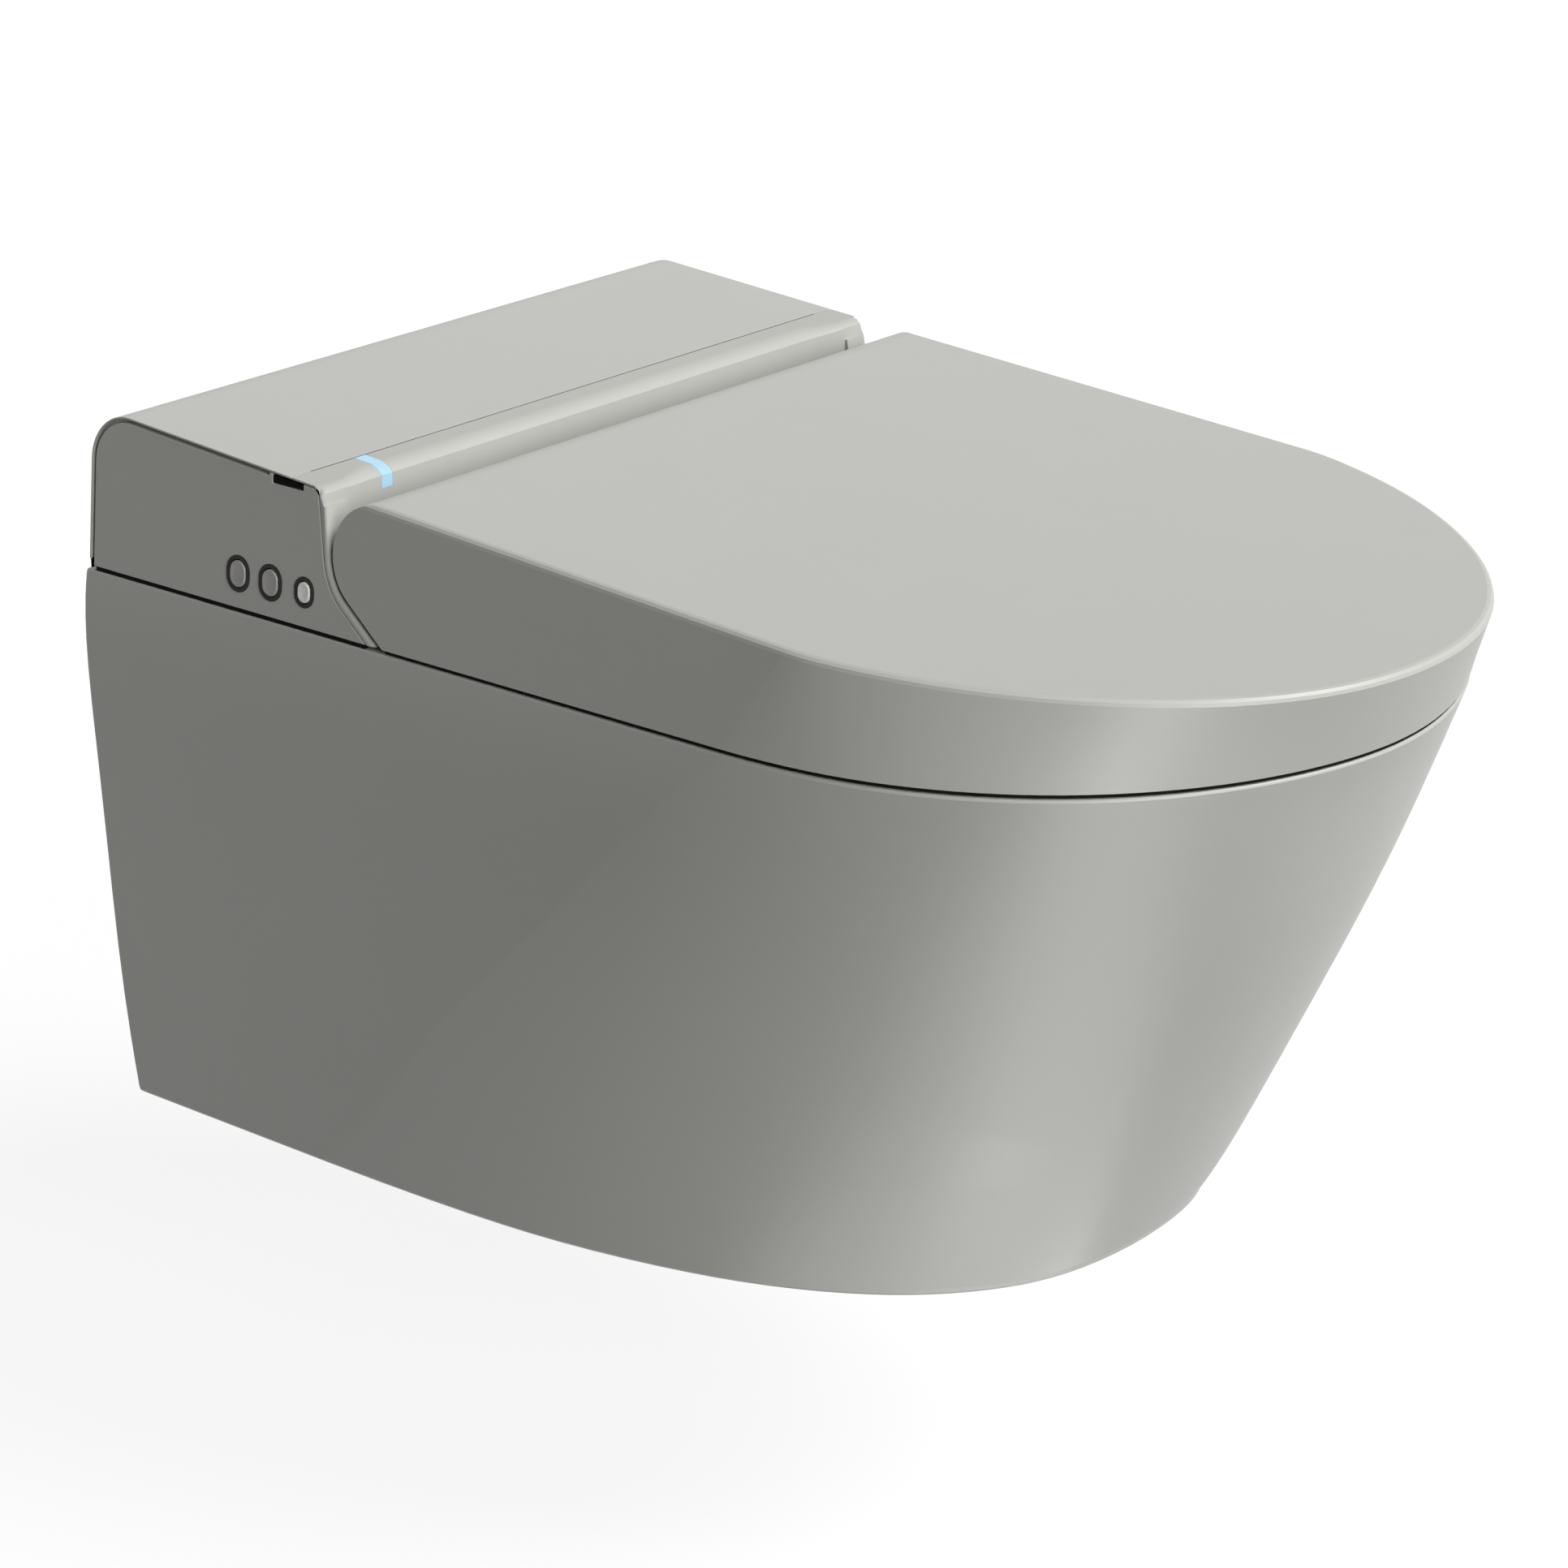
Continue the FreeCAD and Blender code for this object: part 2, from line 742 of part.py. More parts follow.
def unit_ports(clearance):
    # What passes through the front of the unit: the nozzle with its guide, and the dryer's duct
    top = base_top + duct_height + clearance
    nozzle_half = nozzle_slot_half + clearance
    back = -cover_seam + overrun
    deep = -hinge_from_wall
    return [
        box(duct_left - clearance, deep, unit_bottom - overrun, duct_right + clearance, back, top),
        box(-nozzle_half, deep, unit_bottom - overrun, nozzle_half, back,
            nozzle_ref.z + 2 * nozzle_radius + clearance),
    ]


light_side = 44.8
light_width = 6.5
light_left = light_side - side_half_width
light_right = light_left + light_width
light_drop = 9.6
light_depth = 2.4


def light_space(gap):
    low = unit_top(-nose_front) - light_drop
    return box(light_left - gap, -nose_front - overrun, low - gap, light_right + gap, -cover_seam - seam_gap,
               unit_top(0))


def light_pipe():
    outer = nose_block(0).common(light_space(0))
    return outer.cut(nose_block(light_depth))


def front_nose():
    shell = nose_block(0).cut(nose_block(skin))
    seam = -cover_seam - seam_gap
    wide = side_half_width + overrun
    shell = shell.common(box(-wide, -unit_front - overrun, base_top + fit_gap, wide, seam, unit_top(0)))
    ends = prism_x(side_face_edges(0, 0), nose_turn_half, wide)
    ends = ends.cut(prism_x(side_face_edges(0, skin), 0, wide + overrun))
    ends = ends.common(box(0, -hinge_from_wall - lid_rear_radius, unit_bottom, wide, -unit_front + skin,
                           unit_top(-nose_front) - nose_end_round))
    nose = join([shell, ends, mirrored(ends)]).common(wedge(0))
    inner_side = unit_block(-overrun, cap_thickness + fit_gap, -overrun)
    nose = nose.cut(unit_block(lip, -overrun, skin).cut(inner_side).cut(before_nose(lip)))
    plate_half = base_half_width + fit_gap
    nose = nose.cut(box(-plate_half, -base_front, unit_bottom - overrun, plate_half, 0, base_top + fit_gap))
    nose = nose.cut(sensor_window_space(fit_gap))
    for port in unit_ports(port_clearance):
        nose = nose.cut(port)
    nose = nose.cut(nose_block(0).common(light_space(fit_gap)).cut(nose_block(light_depth + fit_gap)))
    return nose


screw_boss_radius = 4.5
inlet_side = 42.8
gland_side = 40.8
inlet_x = inlet_side - side_half_width
water_rise = 12.8
inlet_z = base_top + water_rise
gland_x = side_half_width - gland_side
gland_rise = 17.8
gland_z = base_top + gland_rise
port_radius = 12.0


def top_cover():
    seam = -cover_seam
    wide = side_half_width
    whole = unit_block(0, 0)
    top = whole.cut(unit_block(skin, -overrun))
    side_outer = cap_thickness + fit_gap
    walls = unit_block(0, side_outer).cut(unit_block(-overrun, side_outer + inner_wall))
    cover = join([top, walls]).cut(unit_block(lip, -overrun).cut(unit_block(-overrun, side_outer)))
    cover = cover.common(box(-wide, seam, base_top + fit_gap, wide, 0, unit_top(0) + overrun))
    posts = []
    for x, from_wall in screw_places:
        for side in both_sides:
            foot = V(side * x, -from_wall, base_top + fit_gap)
            stem = rod(screw_boss_radius, foot, V(foot.x, foot.y, unit_top(-from_wall) - skin * half))
            posts.append(stem.common(unit_block(skin * half, side_outer)))
    cover = join([cover] + posts)
    for x, from_wall in screw_places:
        for side in both_sides:
            foot = V(side * x, -from_wall, base_top)
            cover = cover.cut(rod(screw_radius, foot, foot + V(0, 0, screw_length)))
    for x, z in ((inlet_x, inlet_z), (gland_x, gland_z)):
        cover = cover.cut(rod(port_radius, V(x, -unit_from_wall - skin - overrun, z), V(x, 0, z)))
    for from_wall in button_from_wall:
        centre = side_point(from_wall, button_z)
        cover = cover.cut(rod(2 * dome_radius, centre - side_out * mat_face, centre))
    return cover


button_from_wall = (98.7, 119.0, 140.1)
button_rise = 12.7
button_z = base_top + button_rise
ring_radius = (7.2, 7.2, 6.0)
ring_stretch = (1.3, 1.3, 1.1)
ring_width = 2.1
neck_step = 0.6
button_gap = 0.3
side_lean = math.atan(side_taper)
side_out = V(-math.cos(side_lean), 0, math.sin(side_lean))
side_up = V(math.sin(side_lean), 0, math.cos(side_lean))
window_front = 137.3
window_rear = 118.6
window_low = 4.1


def side_point(from_wall, height):
    # A point on the outer face of the cap on the user's right
    return V(-side_half_width + side_taper * (height - unit_bottom), -from_wall, height)


def key_prism(number, radius, depth, rise):
    # An upright oval across the cap: two half circles with straight sides, from depth to rise
    centre = side_point(button_from_wall[number], button_z)
    start = centre - side_out * depth
    up = side_up * ring_stretch[number]
    across = axis_y * radius
    ring = Part.Wire([
        Part.Arc(start + up + across, start + up + side_up * radius, start + up - across).toShape(),
        Part.makeLine(start + up - across, start - up - across),
        Part.Arc(start - up - across, start - up - side_up * radius, start - up + across).toShape(),
        Part.makeLine(start - up + across, start + up + across),
    ])
    return Part.Face(ring).extrude(side_out * (depth + rise))


def cap_band(side):
    wide = side_half_width + overrun
    top = lip + seam_gap
    face = unit_block(top, 0, skin + seam_gap).cut(unit_block(-overrun, cap_thickness, -overrun))
    low, high = sorted((0, side * wide))
    cap = face.common(box(low, -hinge_from_wall - lid_rear_radius, unit_bottom, high, 0, unit_top(0)))
    groove = box(low, -groove_front, unit_bottom, high, 0, unit_top(0) + overrun)
    groove = groove.cut(unit_block(groove_foot, -overrun))
    return cap.cut(groove).cut(before_nose(top))


def sensor_window_space(gap):
    wide = side_half_width
    low = unit_top(-window_front) - window_low
    slab = box(-wide, -window_front - gap, low - gap, 0, -window_rear + gap, unit_top(0))
    return slab.common(unit_block(lip + seam_gap, 0)).cut(unit_block(-overrun, cap_thickness))


def side_cap_right():
    cap = cap_band(-1)
    for number, radius in enumerate(ring_radius):
        cap = cap.cut(key_prism(number, radius - neck_step + fit_gap, cap_thickness + overrun, overrun))
    return cap.cut(sensor_window_space(fit_gap))


def side_cap_left():
    return cap_band(1)


def sensor_window():
    return sensor_window_space(0)


bezel_stand = 0.5
bezel_depth = 3.0
button_stand = 0.9
button_depth = 4.6
button_travel = 1.5


def button_bezels():
    rings = []
    for number, radius in enumerate(ring_radius):
        front = key_prism(number, radius, 0, bezel_stand)
        neck = key_prism(number, radius - neck_step, bezel_depth, bezel_stand)
        bore = key_prism(number, radius - ring_width, bezel_depth + overrun, bezel_stand + overrun)
        rings.append(front.fuse(neck).cut(bore))
    return Part.Compound(rings)


def push_button(number):
    radius = ring_radius[number] - ring_width - button_gap
    stem = key_prism(number, radius, button_depth - button_stand, button_stand)
    face = side_point(button_from_wall[number], button_z) + side_out * button_stand
    rim = [e for e in stem.Edges if all(abs((v.Point - face).dot(side_out)) < fit_gap for v in e.Vertexes)]
    return stem.makeFillet(button_stand * half, rim)


mat_thickness = 1.2
dome_radius = 4.0
pcb_thickness = 1.6
mat_height = 17.0
mat_length = 54.0


def leaning_slab(depth_from, depth_to, length, height):
    # A slab parallel to the cap's face, behind the three buttons
    middle = side_point(button_from_wall[1], button_z)
    low_corner = middle - side_out * depth_to - side_up * (height * half) - axis_y * (length * half)
    corners = [low_corner, low_corner + side_up * height, low_corner + side_up * height + axis_y * length,
               low_corner + axis_y * length]
    return Part.Face(Part.makePolygon(corners + corners[:1])).extrude(side_out * (depth_to - depth_from))


dome_top = button_depth - button_stand + button_travel + slip_gap
mat_face = cap_thickness + fit_gap + inner_wall


def button_mat():
    mat = leaning_slab(mat_face, mat_face + mat_thickness, mat_length, mat_height)
    parts = [mat]
    for from_wall in button_from_wall:
        centre = side_point(from_wall, button_z)
        start = centre - side_out * (mat_face + mat_thickness * half)
        height = mat_face + mat_thickness * half - dome_top
        parts.append(Part.makeCone(dome_radius, dome_radius * half, height, start, side_out))
    return join(parts)


def button_board():
    back = mat_face + mat_thickness
    return leaning_slab(back, back + pcb_thickness, mat_length, mat_height)


def cover_screws():
    screws = []
    for x, from_wall in screw_places:
        for side in both_sides:
            foot = V(side * x, -from_wall, unit_bottom + screw_sink)
            shank = rod(screw_radius, foot, foot + V(0, 0, screw_length - screw_sink))
            screws.append(shank.fuse(rod(2 * screw_radius, foot, foot + V(0, 0, base_thickness * half))))
    return Part.Compound(screws)


# Electronics
board_side = 30.8
board_left = board_side - side_half_width
board_right = -62.0
board_front = 135.0
board_rear = 78.0
board_rise = 6.0
standoff_radius = 3.0
standoff_inset = 6.0
# Each row: place across and along the board, then length, width and height, as shares of the board's length
component_shares = [
    (0.10, 0.12, 0.22, 0.16, 0.13),
    (0.42, 0.14, 0.10, 0.10, 0.20),
    (0.60, 0.10, 0.30, 0.12, 0.08),
    (0.12, 0.38, 0.14, 0.14, 0.04),
    (0.52, 0.34, 0.09, 0.09, 0.22),
]


def control_board():
    level = base_top + board_rise
    length = board_right - board_left
    board = box(board_left, -board_front, level, board_right, -board_rear, level + pcb_thickness)
    solids = [board]
    for across, along, long, wide, high in component_shares:
        x = board_left + across * length
        y = -board_front + along * length
        top = level + pcb_thickness
        solids.append(box(x, y, top, x + long * length, y + wide * length, top + high * length))
    for x in (board_left + standoff_inset, board_right - standoff_inset):
        for y in (-board_front + standoff_inset, -board_rear - standoff_inset):
            solids.append(rod(standoff_radius, V(x, y, base_top), V(x, y, level)))
    return join(solids)


supply_side = 18.8
supply_width = 40.0
supply_right = side_half_width - supply_side
supply_left = supply_right - supply_width
supply_front = 138.0
supply_rear = 102.0
supply_height = 46.0
fin_count = 3
case_round = 3.0


def rounded_box(x0, y0, z0, x1, y1, z1):
    block = box(x0, y0, z0, x1, y1, z1)
    upright = [e for e in block.Edges if abs(e.tangentAt(e.FirstParameter).z) > half]
    return block.makeFillet(case_round, upright)


def power_supply():
    top = base_top + supply_height
    block = rounded_box(supply_left, -supply_front, base_top, supply_right, -supply_rear, top)
    fin_gap = supply_height / (3 * fin_count)
    for k in range(fin_count):
        z = top - (2 * k + 2) * fin_gap
        block = block.cut(box(supply_left - overrun, -supply_front - overrun, z,
                              supply_left + case_round * half, -supply_rear + overrun, z + fin_gap * half))
    return block


gland_bore = 4.0
gland_length = 26.0
gland_body = 8.5
gland_flange = 11.6
gland_nut = 19.0


def cable_gland():
    mouth = V(gland_x, -unit_from_wall, gland_z)
    end = mouth - V(0, gland_length, 0)
    body = rod(gland_body, end, mouth).fuse(rod(gland_flange, mouth - V(0, skin, 0), mouth))
    nut = hexagon(gland_nut, base_thickness * 2, mouth - V(0, 2 * skin, 0), -axis_y)
    foot = box(gland_x - gland_body, end.y, base_top, gland_x + gland_body, end.y + overrun, gland_z)
    return join([body, nut, foot]).cut(rod(gland_bore, end - V(0, overrun, 0), mouth + V(0, overrun, 0)))


# Water path
thread_bore = 9.3
thread_length = 14.0
inlet_body = 11.6
inlet_length = 30.0
valve_length = 30.0
valve_width = 30.0
coil_radius = 11.0
coil_height = 20.0
hose_radius = 4.0
hose_bore = 2.5
filter_radius = 7.0
filter_length = 9.0


def inlet_fitting():
    mouth = V(inlet_x, -unit_from_wall, inlet_z)
    end = mouth - V(0, inlet_length, 0)
    body = rod(inlet_body, end, mouth)
    foot_half = inlet_body * half
    foot = box(inlet_x - foot_half, end.y, base_top, inlet_x + foot_half, end.y + 2 * overrun, inlet_z)
    thread = rod(thread_bore, mouth - V(0, thread_length, 0), mouth + V(0, overrun, 0))
    chamber = rod(filter_radius + fit_gap, mouth - V(0, thread_length + filter_length, 0), mouth)
    through = rod(hose_radius, end - V(0, overrun, 0), mouth)
    return join([body, foot]).cut(thread).cut(chamber).cut(through)


def water_filter():
    front = V(inlet_x, -unit_from_wall - thread_length - filter_length, inlet_z)
    back = front + V(0, filter_length, 0)
    cup = rod(filter_radius, front, back)
    return cup.cut(rod(filter_radius - duct_wall, front + V(0, duct_wall, 0), back + V(0, overrun, 0)))


valve_rear = unit_from_wall + inlet_length


def inlet_valve():
    body = rounded_box(inlet_x - valve_width * half, -valve_rear - valve_length, base_top,
                       inlet_x + valve_width * half, -valve_rear, inlet_z + hose_radius + duct_wall)
    middle = V(inlet_x, -valve_rear - valve_length * half, inlet_z)
    coil = rod(coil_radius, middle, middle + V(0, 0, coil_height + hose_radius))
    return join([body, coil])


heater_offset = 36.0
heater_left = inlet_x + heater_offset
heater_right = -32.0
heater_front = 66.0
heater_rear = 24.0
heater_height = 44.0
rib_height = 2.0
rib_count = 6


def water_heater():
    top = base_top + heater_height
    block = rounded_box(heater_left, -heater_front, base_top, heater_right, -heater_rear, top)
    pitch = (heater_right - heater_left) / (rib_count + 1)
    parts = [block]
    for k in range(rib_count):
        x = heater_left + (k + 1) * pitch
        parts.append(box(x - rib_height * half, -heater_front + case_round, top, x + rib_height * half,
                         -heater_rear - case_round, top + rib_height))
    return join(parts)


def hose(start, end):
    return tube(hose_radius, hose_bore, start, end)


def supply_hose():
    y = -valve_rear - valve_length * half
    return hose(V(inlet_x + valve_width * half, y, inlet_z), V(heater_left, y, inlet_z))


def nozzle_hose():
    y = -(heater_front + heater_rear) * half
    z = base_top + hose_radius + duct_wall
    return hose(V(heater_right, y, z), V(-guide_wall, y, z))


# Nozzle drive
rack_start = -142.0
rack_end = -42.0
pinion_at = -47.0
tooth_module = 1.0
pinion_teeth = 14
rack_height = 4.0
rack_addendum = 0.7
rack_dedendum = 1.1
pinion_addendum = 0.8
pinion_dedendum = 1.05
backlash = 0.14
pressure = math.radians(20)
pitch_offset = 10.0
rack_back = 5.4
shaft_radius = 2.0
shaft_clearance = 0.05
pinion_radius = tooth_module * pinion_teeth * half
pinion_x = pitch_offset + pinion_radius
tooth_pitch = math.pi * tooth_module


def nozzle_point(along, x=0, up=0):
    return nozzle_ref + nozzle_way * along + axis_x * x + nozzle_up * up


def on_nozzle_line(shape):
    # From a frame with x across, y back along the nozzle and z square to it
    turn = FreeCAD.Rotation(axis_x, -nozzle_way, nozzle_up, "XYZ")
    shape.Placement = FreeCAD.Placement(nozzle_ref, turn).multiply(shape.Placement)
    return shape


def nozzle_tube():
    return tube(nozzle_radius, nozzle_bore, nozzle_point(nozzle_rear), nozzle_point(nozzle_tip_start))


def nozzle_tip():
    start = nozzle_point(nozzle_tip_start)
    end = nozzle_point(nozzle_end)
    body = rod(nozzle_radius, start, end)
    body = body.makeFillet(nozzle_radius * half, round_edges(body, end))
    body = body.cut(rod(nozzle_bore, start - nozzle_way, nozzle_point(nozzle_end - nozzle_bore)))
    jet = nozzle_point(nozzle_end - 2 * nozzle_bore)
    for x in (-half, 0, half):
        hole = jet + axis_x * (x * nozzle_bore)
        body = body.cut(rod(jet_radius, hole, hole + nozzle_up * 2 * nozzle_radius))
    return body


def nozzle_rack():
    spread = math.tan(pressure)
    tip = pitch_offset + rack_addendum
    root = pitch_offset - rack_dedendum
    half_tooth = tooth_pitch / 4 - backlash * half
    points = [V(rack_back, -rack_start, 0), V(root, -rack_start, 0)]
    count = int((rack_end - rack_start) / tooth_pitch)
    first = pinion_at + tooth_pitch * half - tooth_pitch * math.floor((pinion_at - rack_start) / tooth_pitch)
    for k in range(count):
        centre = first + k * tooth_pitch
        wide = half_tooth + rack_dedendum * spread
        narrow = half_tooth - rack_addendum * spread
        if centre - wide < rack_start or centre + wide > rack_end:
            continue
        points += [V(root, -(centre - wide), 0), V(tip, -(centre - narrow), 0), V(tip, -(centre + narrow), 0),
                   V(root, -(centre + wide), 0)]
    points += [V(root, -rack_end, 0), V(rack_back, -rack_end, 0)]
    face = Part.Face(Part.makePolygon(points + points[:1]))
    bar = face.extrude(V(0, 0, rack_height))
    bar.translate(V(0, 0, -rack_height * half))
    bar = on_nozzle_line(bar)
    return bar.cut(rod(nozzle_radius, nozzle_point(nozzle_rear - overrun), nozzle_point(nozzle_end)))


def involute_point(base_radius, radius, start, hand):
    roll = math.sqrt(max((radius / base_radius) ** 2 - 1, 0))
    turn = start + hand * (roll - math.atan(roll))
    return radius * math.cos(turn), radius * math.sin(turn)


def nozzle_pinion():
    base_radius = pinion_radius * math.cos(pressure)
    inv = math.tan(pressure) - pressure
    half_angle = math.pi / (2 * pinion_teeth) - backlash * half / pinion_radius
    root = pinion_radius - pinion_dedendum
    tip = pinion_radius + pinion_addendum
    flank_steps = 5
    points = []
    for k in range(pinion_teeth):
        # One tooth points straight at the rack
        centre = math.pi + 2 * math.pi * k / pinion_teeth
        for hand in (-1, 1):
            start = centre + hand * (half_angle + inv)
            low = max(base_radius, root)
            radii = [low + (tip - low) * i / flank_steps for i in range(flank_steps + 1)]
            flank = [involute_point(base_radius, r, start, -hand) for r in radii]
            flank = [(root * math.cos(start), root * math.sin(start))] + flank
            points += flank if hand < 0 else flank[::-1]
    corners = [V(x, y, 0) for x, y in points]
    face = Part.Face(Part.makePolygon(corners + corners[:1]))
    wheel = face.extrude(V(0, 0, 2 * rack_height))
    wheel.translate(V(pinion_x, -pinion_at, -rack_height))
    length = motor_rise + motor_height * half + rack_height
    shaft = Part.makeCylinder(shaft_radius, length, V(pinion_x, -pinion_at, -rack_height))
    return on_nozzle_line(wheel.fuse(shaft))


motor_radius = 13.5
motor_height = 18.0
motor_rise = 8.0
shelf_thickness = 2.5
shelf_reach = 15.0
guide_clearance = 0.5
guide_wall = 3.0
guide_front = 18.0
guide_open = 2.8


def stepper_motor():
    body = Part.makeCylinder(motor_radius, motor_height, V(pinion_x, -pinion_at, motor_rise))
    bore = Part.makeCylinder(shaft_radius + shaft_clearance, motor_height * half + 2 * slip_gap,
                             V(pinion_x, -pinion_at, motor_rise - slip_gap))
    side = pinion_x + motor_radius
    plug = box(side - guide_wall, -pinion_at - guide_wall, motor_rise + guide_wall, side + guide_wall,
               -pinion_at + guide_wall, motor_rise + motor_height - guide_wall)
    return on_nozzle_line(body.fuse(plug).cut(bore))


def nozzle_guide():
    bore = nozzle_radius + guide_clearance
    outer = bore + guide_wall
    long = guide_front - nozzle_rear + 2 * guide_wall
    rear = -(nozzle_rear - guide_wall)
    cradle = Part.makeCylinder(outer, long, V(0, rear, 0), -axis_y)
    cradle = cradle.cut(box(-outer, rear - long - overrun, -guide_open, outer, rear + overrun, outer))
    web_top = box(-guide_wall, rear - long, -outer * 3, guide_wall, rear, -bore - guide_wall * half)
    cradle = on_nozzle_line(cradle)
    web = on_nozzle_line(web_top)
    web = web.common(box(-outer, -nozzle_slot_rear, base_top, outer, 0, unit_top(0)))
    collar = Part.makeCylinder(outer, 2 * guide_wall, V(0, -guide_front + 2 * guide_wall, 0), -axis_y)
    collar = collar.cut(box(nozzle_radius - 2 * guide_clearance, -guide_front - overrun, -outer, outer,
                            -guide_front + 3 * guide_wall, outer))
    collar = on_nozzle_line(collar)
    lead = on_nozzle_line(Part.makeCylinder(bore, long + 2 * overrun, V(0, rear + overrun, 0), -axis_y))
    top = motor_rise
    shelf = box(outer - guide_wall, -pinion_at - shelf_reach, top - shelf_thickness, pinion_x + shelf_reach,
                -pinion_at + shelf_reach, top)
    shaft_hole = Part.makeCylinder(2 * shaft_radius, 2 * overrun, V(pinion_x, -pinion_at, top - overrun))
    shelf = on_nozzle_line(shelf.cut(shaft_hole))
    legs = []
    for along in (-shelf_reach, shelf_reach - guide_wall):
        leg = box(pinion_x + shelf_reach - guide_wall, -pinion_at + along, -4 * outer, pinion_x + shelf_reach,
                  -pinion_at + along + guide_wall, top)
        legs.append(leg)
    legs.append(box(outer - guide_wall, -pinion_at + shelf_reach - guide_wall, -4 * outer,
                    pinion_x + shelf_reach, -pinion_at + shelf_reach, top))
    above_plate = box(-outer, -cover_seam - outer, base_top, 4 * outer, 0, unit_top(0))
    stand = on_nozzle_line(join(legs)).common(above_plate)
    running = box(0, rear - long - overrun, -rack_height, pitch_offset + rack_addendum + guide_clearance,
                  rear + overrun, rack_height)
    whole = join([cradle, web, collar, shelf, stand])
    return whole.cut(lead).cut(on_nozzle_line(running))


# Dryer
blower_from_wall = 60.0
blower_radius = 31.0
blower_height = 30.0
blower_wall = 1.8
impeller_radius = 24.0
impeller_gap = 2.0
blade_count = 18
blade_thickness = 1.2
hub_radius = 6.0
blower_intake = 16.0
blower_rise = 12.0
throat_left_reach = 26.0
throat_right_reach = 6.0
throat_left = blower_x - throat_left_reach
throat_right = blower_x - throat_right_reach
duct_bend_rear = 100.0
duct_bend_front = 138.0
blower_motor_radius = 13.0
leg_turn_share = 0.2
blade_inner_share = 0.72


def blower_middle(z):
    return V(blower_x, -blower_from_wall, z)


def blower_housing():
    low = base_top + blower_rise
    high = low + blower_height
    outer = rod(blower_radius, blower_middle(low), blower_middle(high))
    throat = box(throat_left, -duct_bend_rear, low, throat_right, -blower_from_wall, high)
    floor = low + blower_wall
    roof = high - blower_wall
    inner = rod(blower_radius - blower_wall, blower_middle(floor), blower_middle(roof))
    channel = box(throat_left + blower_wall, -duct_bend_rear - overrun, floor, throat_right - blower_wall,
                  -blower_from_wall, roof)
    intake = rod(blower_intake, blower_middle(high - overrun), blower_middle(high + overrun))
    socket = rod(blower_motor_radius, blower_middle(low - overrun), blower_middle(low + overrun))
    legs = []
    for k in range(4):
        turn = math.pi * (k * half + leg_turn_share)
        reach = blower_radius - 3 * blower_wall
        x = blower_x + reach * math.cos(turn)
        y = -blower_from_wall + reach * math.sin(turn)
        legs.append(rod(2 * blower_wall, V(x, y, base_top), V(x, y, low + blower_wall * half)))
    return join([outer, throat] + legs).cut(inner).cut(channel).cut(intake).cut(socket)


def blower_impeller():
    low = base_top + blower_rise + blower_wall + impeller_gap + overrun * half
    high = base_top + blower_rise + blower_height - blower_wall - impeller_gap
    plate = rod(impeller_radius, blower_middle(low), blower_middle(low + blade_thickness))
    hub = rod(hub_radius, blower_middle(low), blower_middle(high - overrun))
    ring = tube(impeller_radius, impeller_radius - 2 * blade_thickness, blower_middle(high - blade_thickness),
                blower_middle(high))
    shaft = rod(shaft_radius, blower_middle(base_top + blower_rise), blower_middle(low))
    parts = [plate, hub, ring, shaft]
    for k in range(blade_count):
        blade = box(impeller_radius * blade_inner_share, -blade_thickness * half, 0,
                    impeller_radius - blade_thickness * half, blade_thickness * half, high - low)
        blade.rotate(V(0, 0, 0), axis_z, 360 * k / blade_count)
        parts.append(blade.translated(blower_middle(low)))
    return join(parts)


def blower_motor():
    low = blower_middle(base_top)
    high = blower_middle(base_top + blower_rise + blower_wall + impeller_gap)
    body = rod(blower_motor_radius - fit_gap, low, high)
    return body.cut(rod(shaft_radius + shaft_clearance, blower_middle(base_top + blower_rise - slip_gap),
                        high + V(0, 0, overrun)))


def rectangle(x0, x1, z0, z1, y):
    corners = [V(x0, y, z0), V(x1, y, z0), V(x1, y, z1), V(x0, y, z1)]
    return Part.makePolygon(corners + corners[:1])


def duct_body(wall):
    low = base_top + wall
    high = base_top + duct_height - wall
    throat_low = base_top + blower_rise + wall
    throat_high = base_top + blower_rise + blower_height - wall
    start = -duct_bend_rear - fit_gap
    past = overrun if wall else 0
    bend = Part.makeLoft([
        rectangle(throat_left + wall, throat_right - wall, throat_low, throat_high, start),
        rectangle(duct_left + wall, duct_right - wall, low, high, -duct_bend_front),
    ], True, True)
    run = box(duct_left + wall, -duct_mouth - past, low, duct_right - wall, -duct_bend_front, high)
    if wall:
        bend = bend.fuse(box(throat_left + wall, start, throat_low, throat_right - wall, start + past,
                             throat_high))
    return join([bend, run])


flap_thickness = 1.4
flap_pin = 1.0
flap_barrel = 1.6
flap_drop = 0.9
ear_reach = 5.5
flap_hinge_y = -duct_mouth - flap_barrel - slip_gap
flap_hinge_z = base_top + duct_height - flap_barrel


def dryer_duct():
    shell = duct_body(0).cut(duct_body(duct_wall))
    ears = []
    for x0 in (duct_left, duct_right - duct_wall):
        ear = box(x0, -duct_mouth - ear_reach, base_top, x0 + duct_wall, -duct_mouth, base_top + duct_height)
        pin_hole = rod(flap_pin + shaft_clearance, V(x0 - overrun, flap_hinge_y, flap_hinge_z),
                       V(x0 + overrun, flap_hinge_y, flap_hinge_z))
        ears.append(ear.cut(pin_hole))
    return join([shell] + ears)


def dryer_flap():
    left = duct_left + duct_wall + slip_gap
    right = duct_right - duct_wall - slip_gap
    barrel = rod(flap_barrel, V(left, flap_hinge_y, flap_hinge_z), V(right, flap_hinge_y, flap_hinge_z))
    pin = rod(flap_pin, V(duct_left, flap_hinge_y, flap_hinge_z), V(duct_right, flap_hinge_y, flap_hinge_z))
    plate = box(left, flap_hinge_y - flap_thickness * half, base_top + flap_drop, right,
                flap_hinge_y + flap_thickness * half, flap_hinge_z)
    return join([barrel, pin, plate])


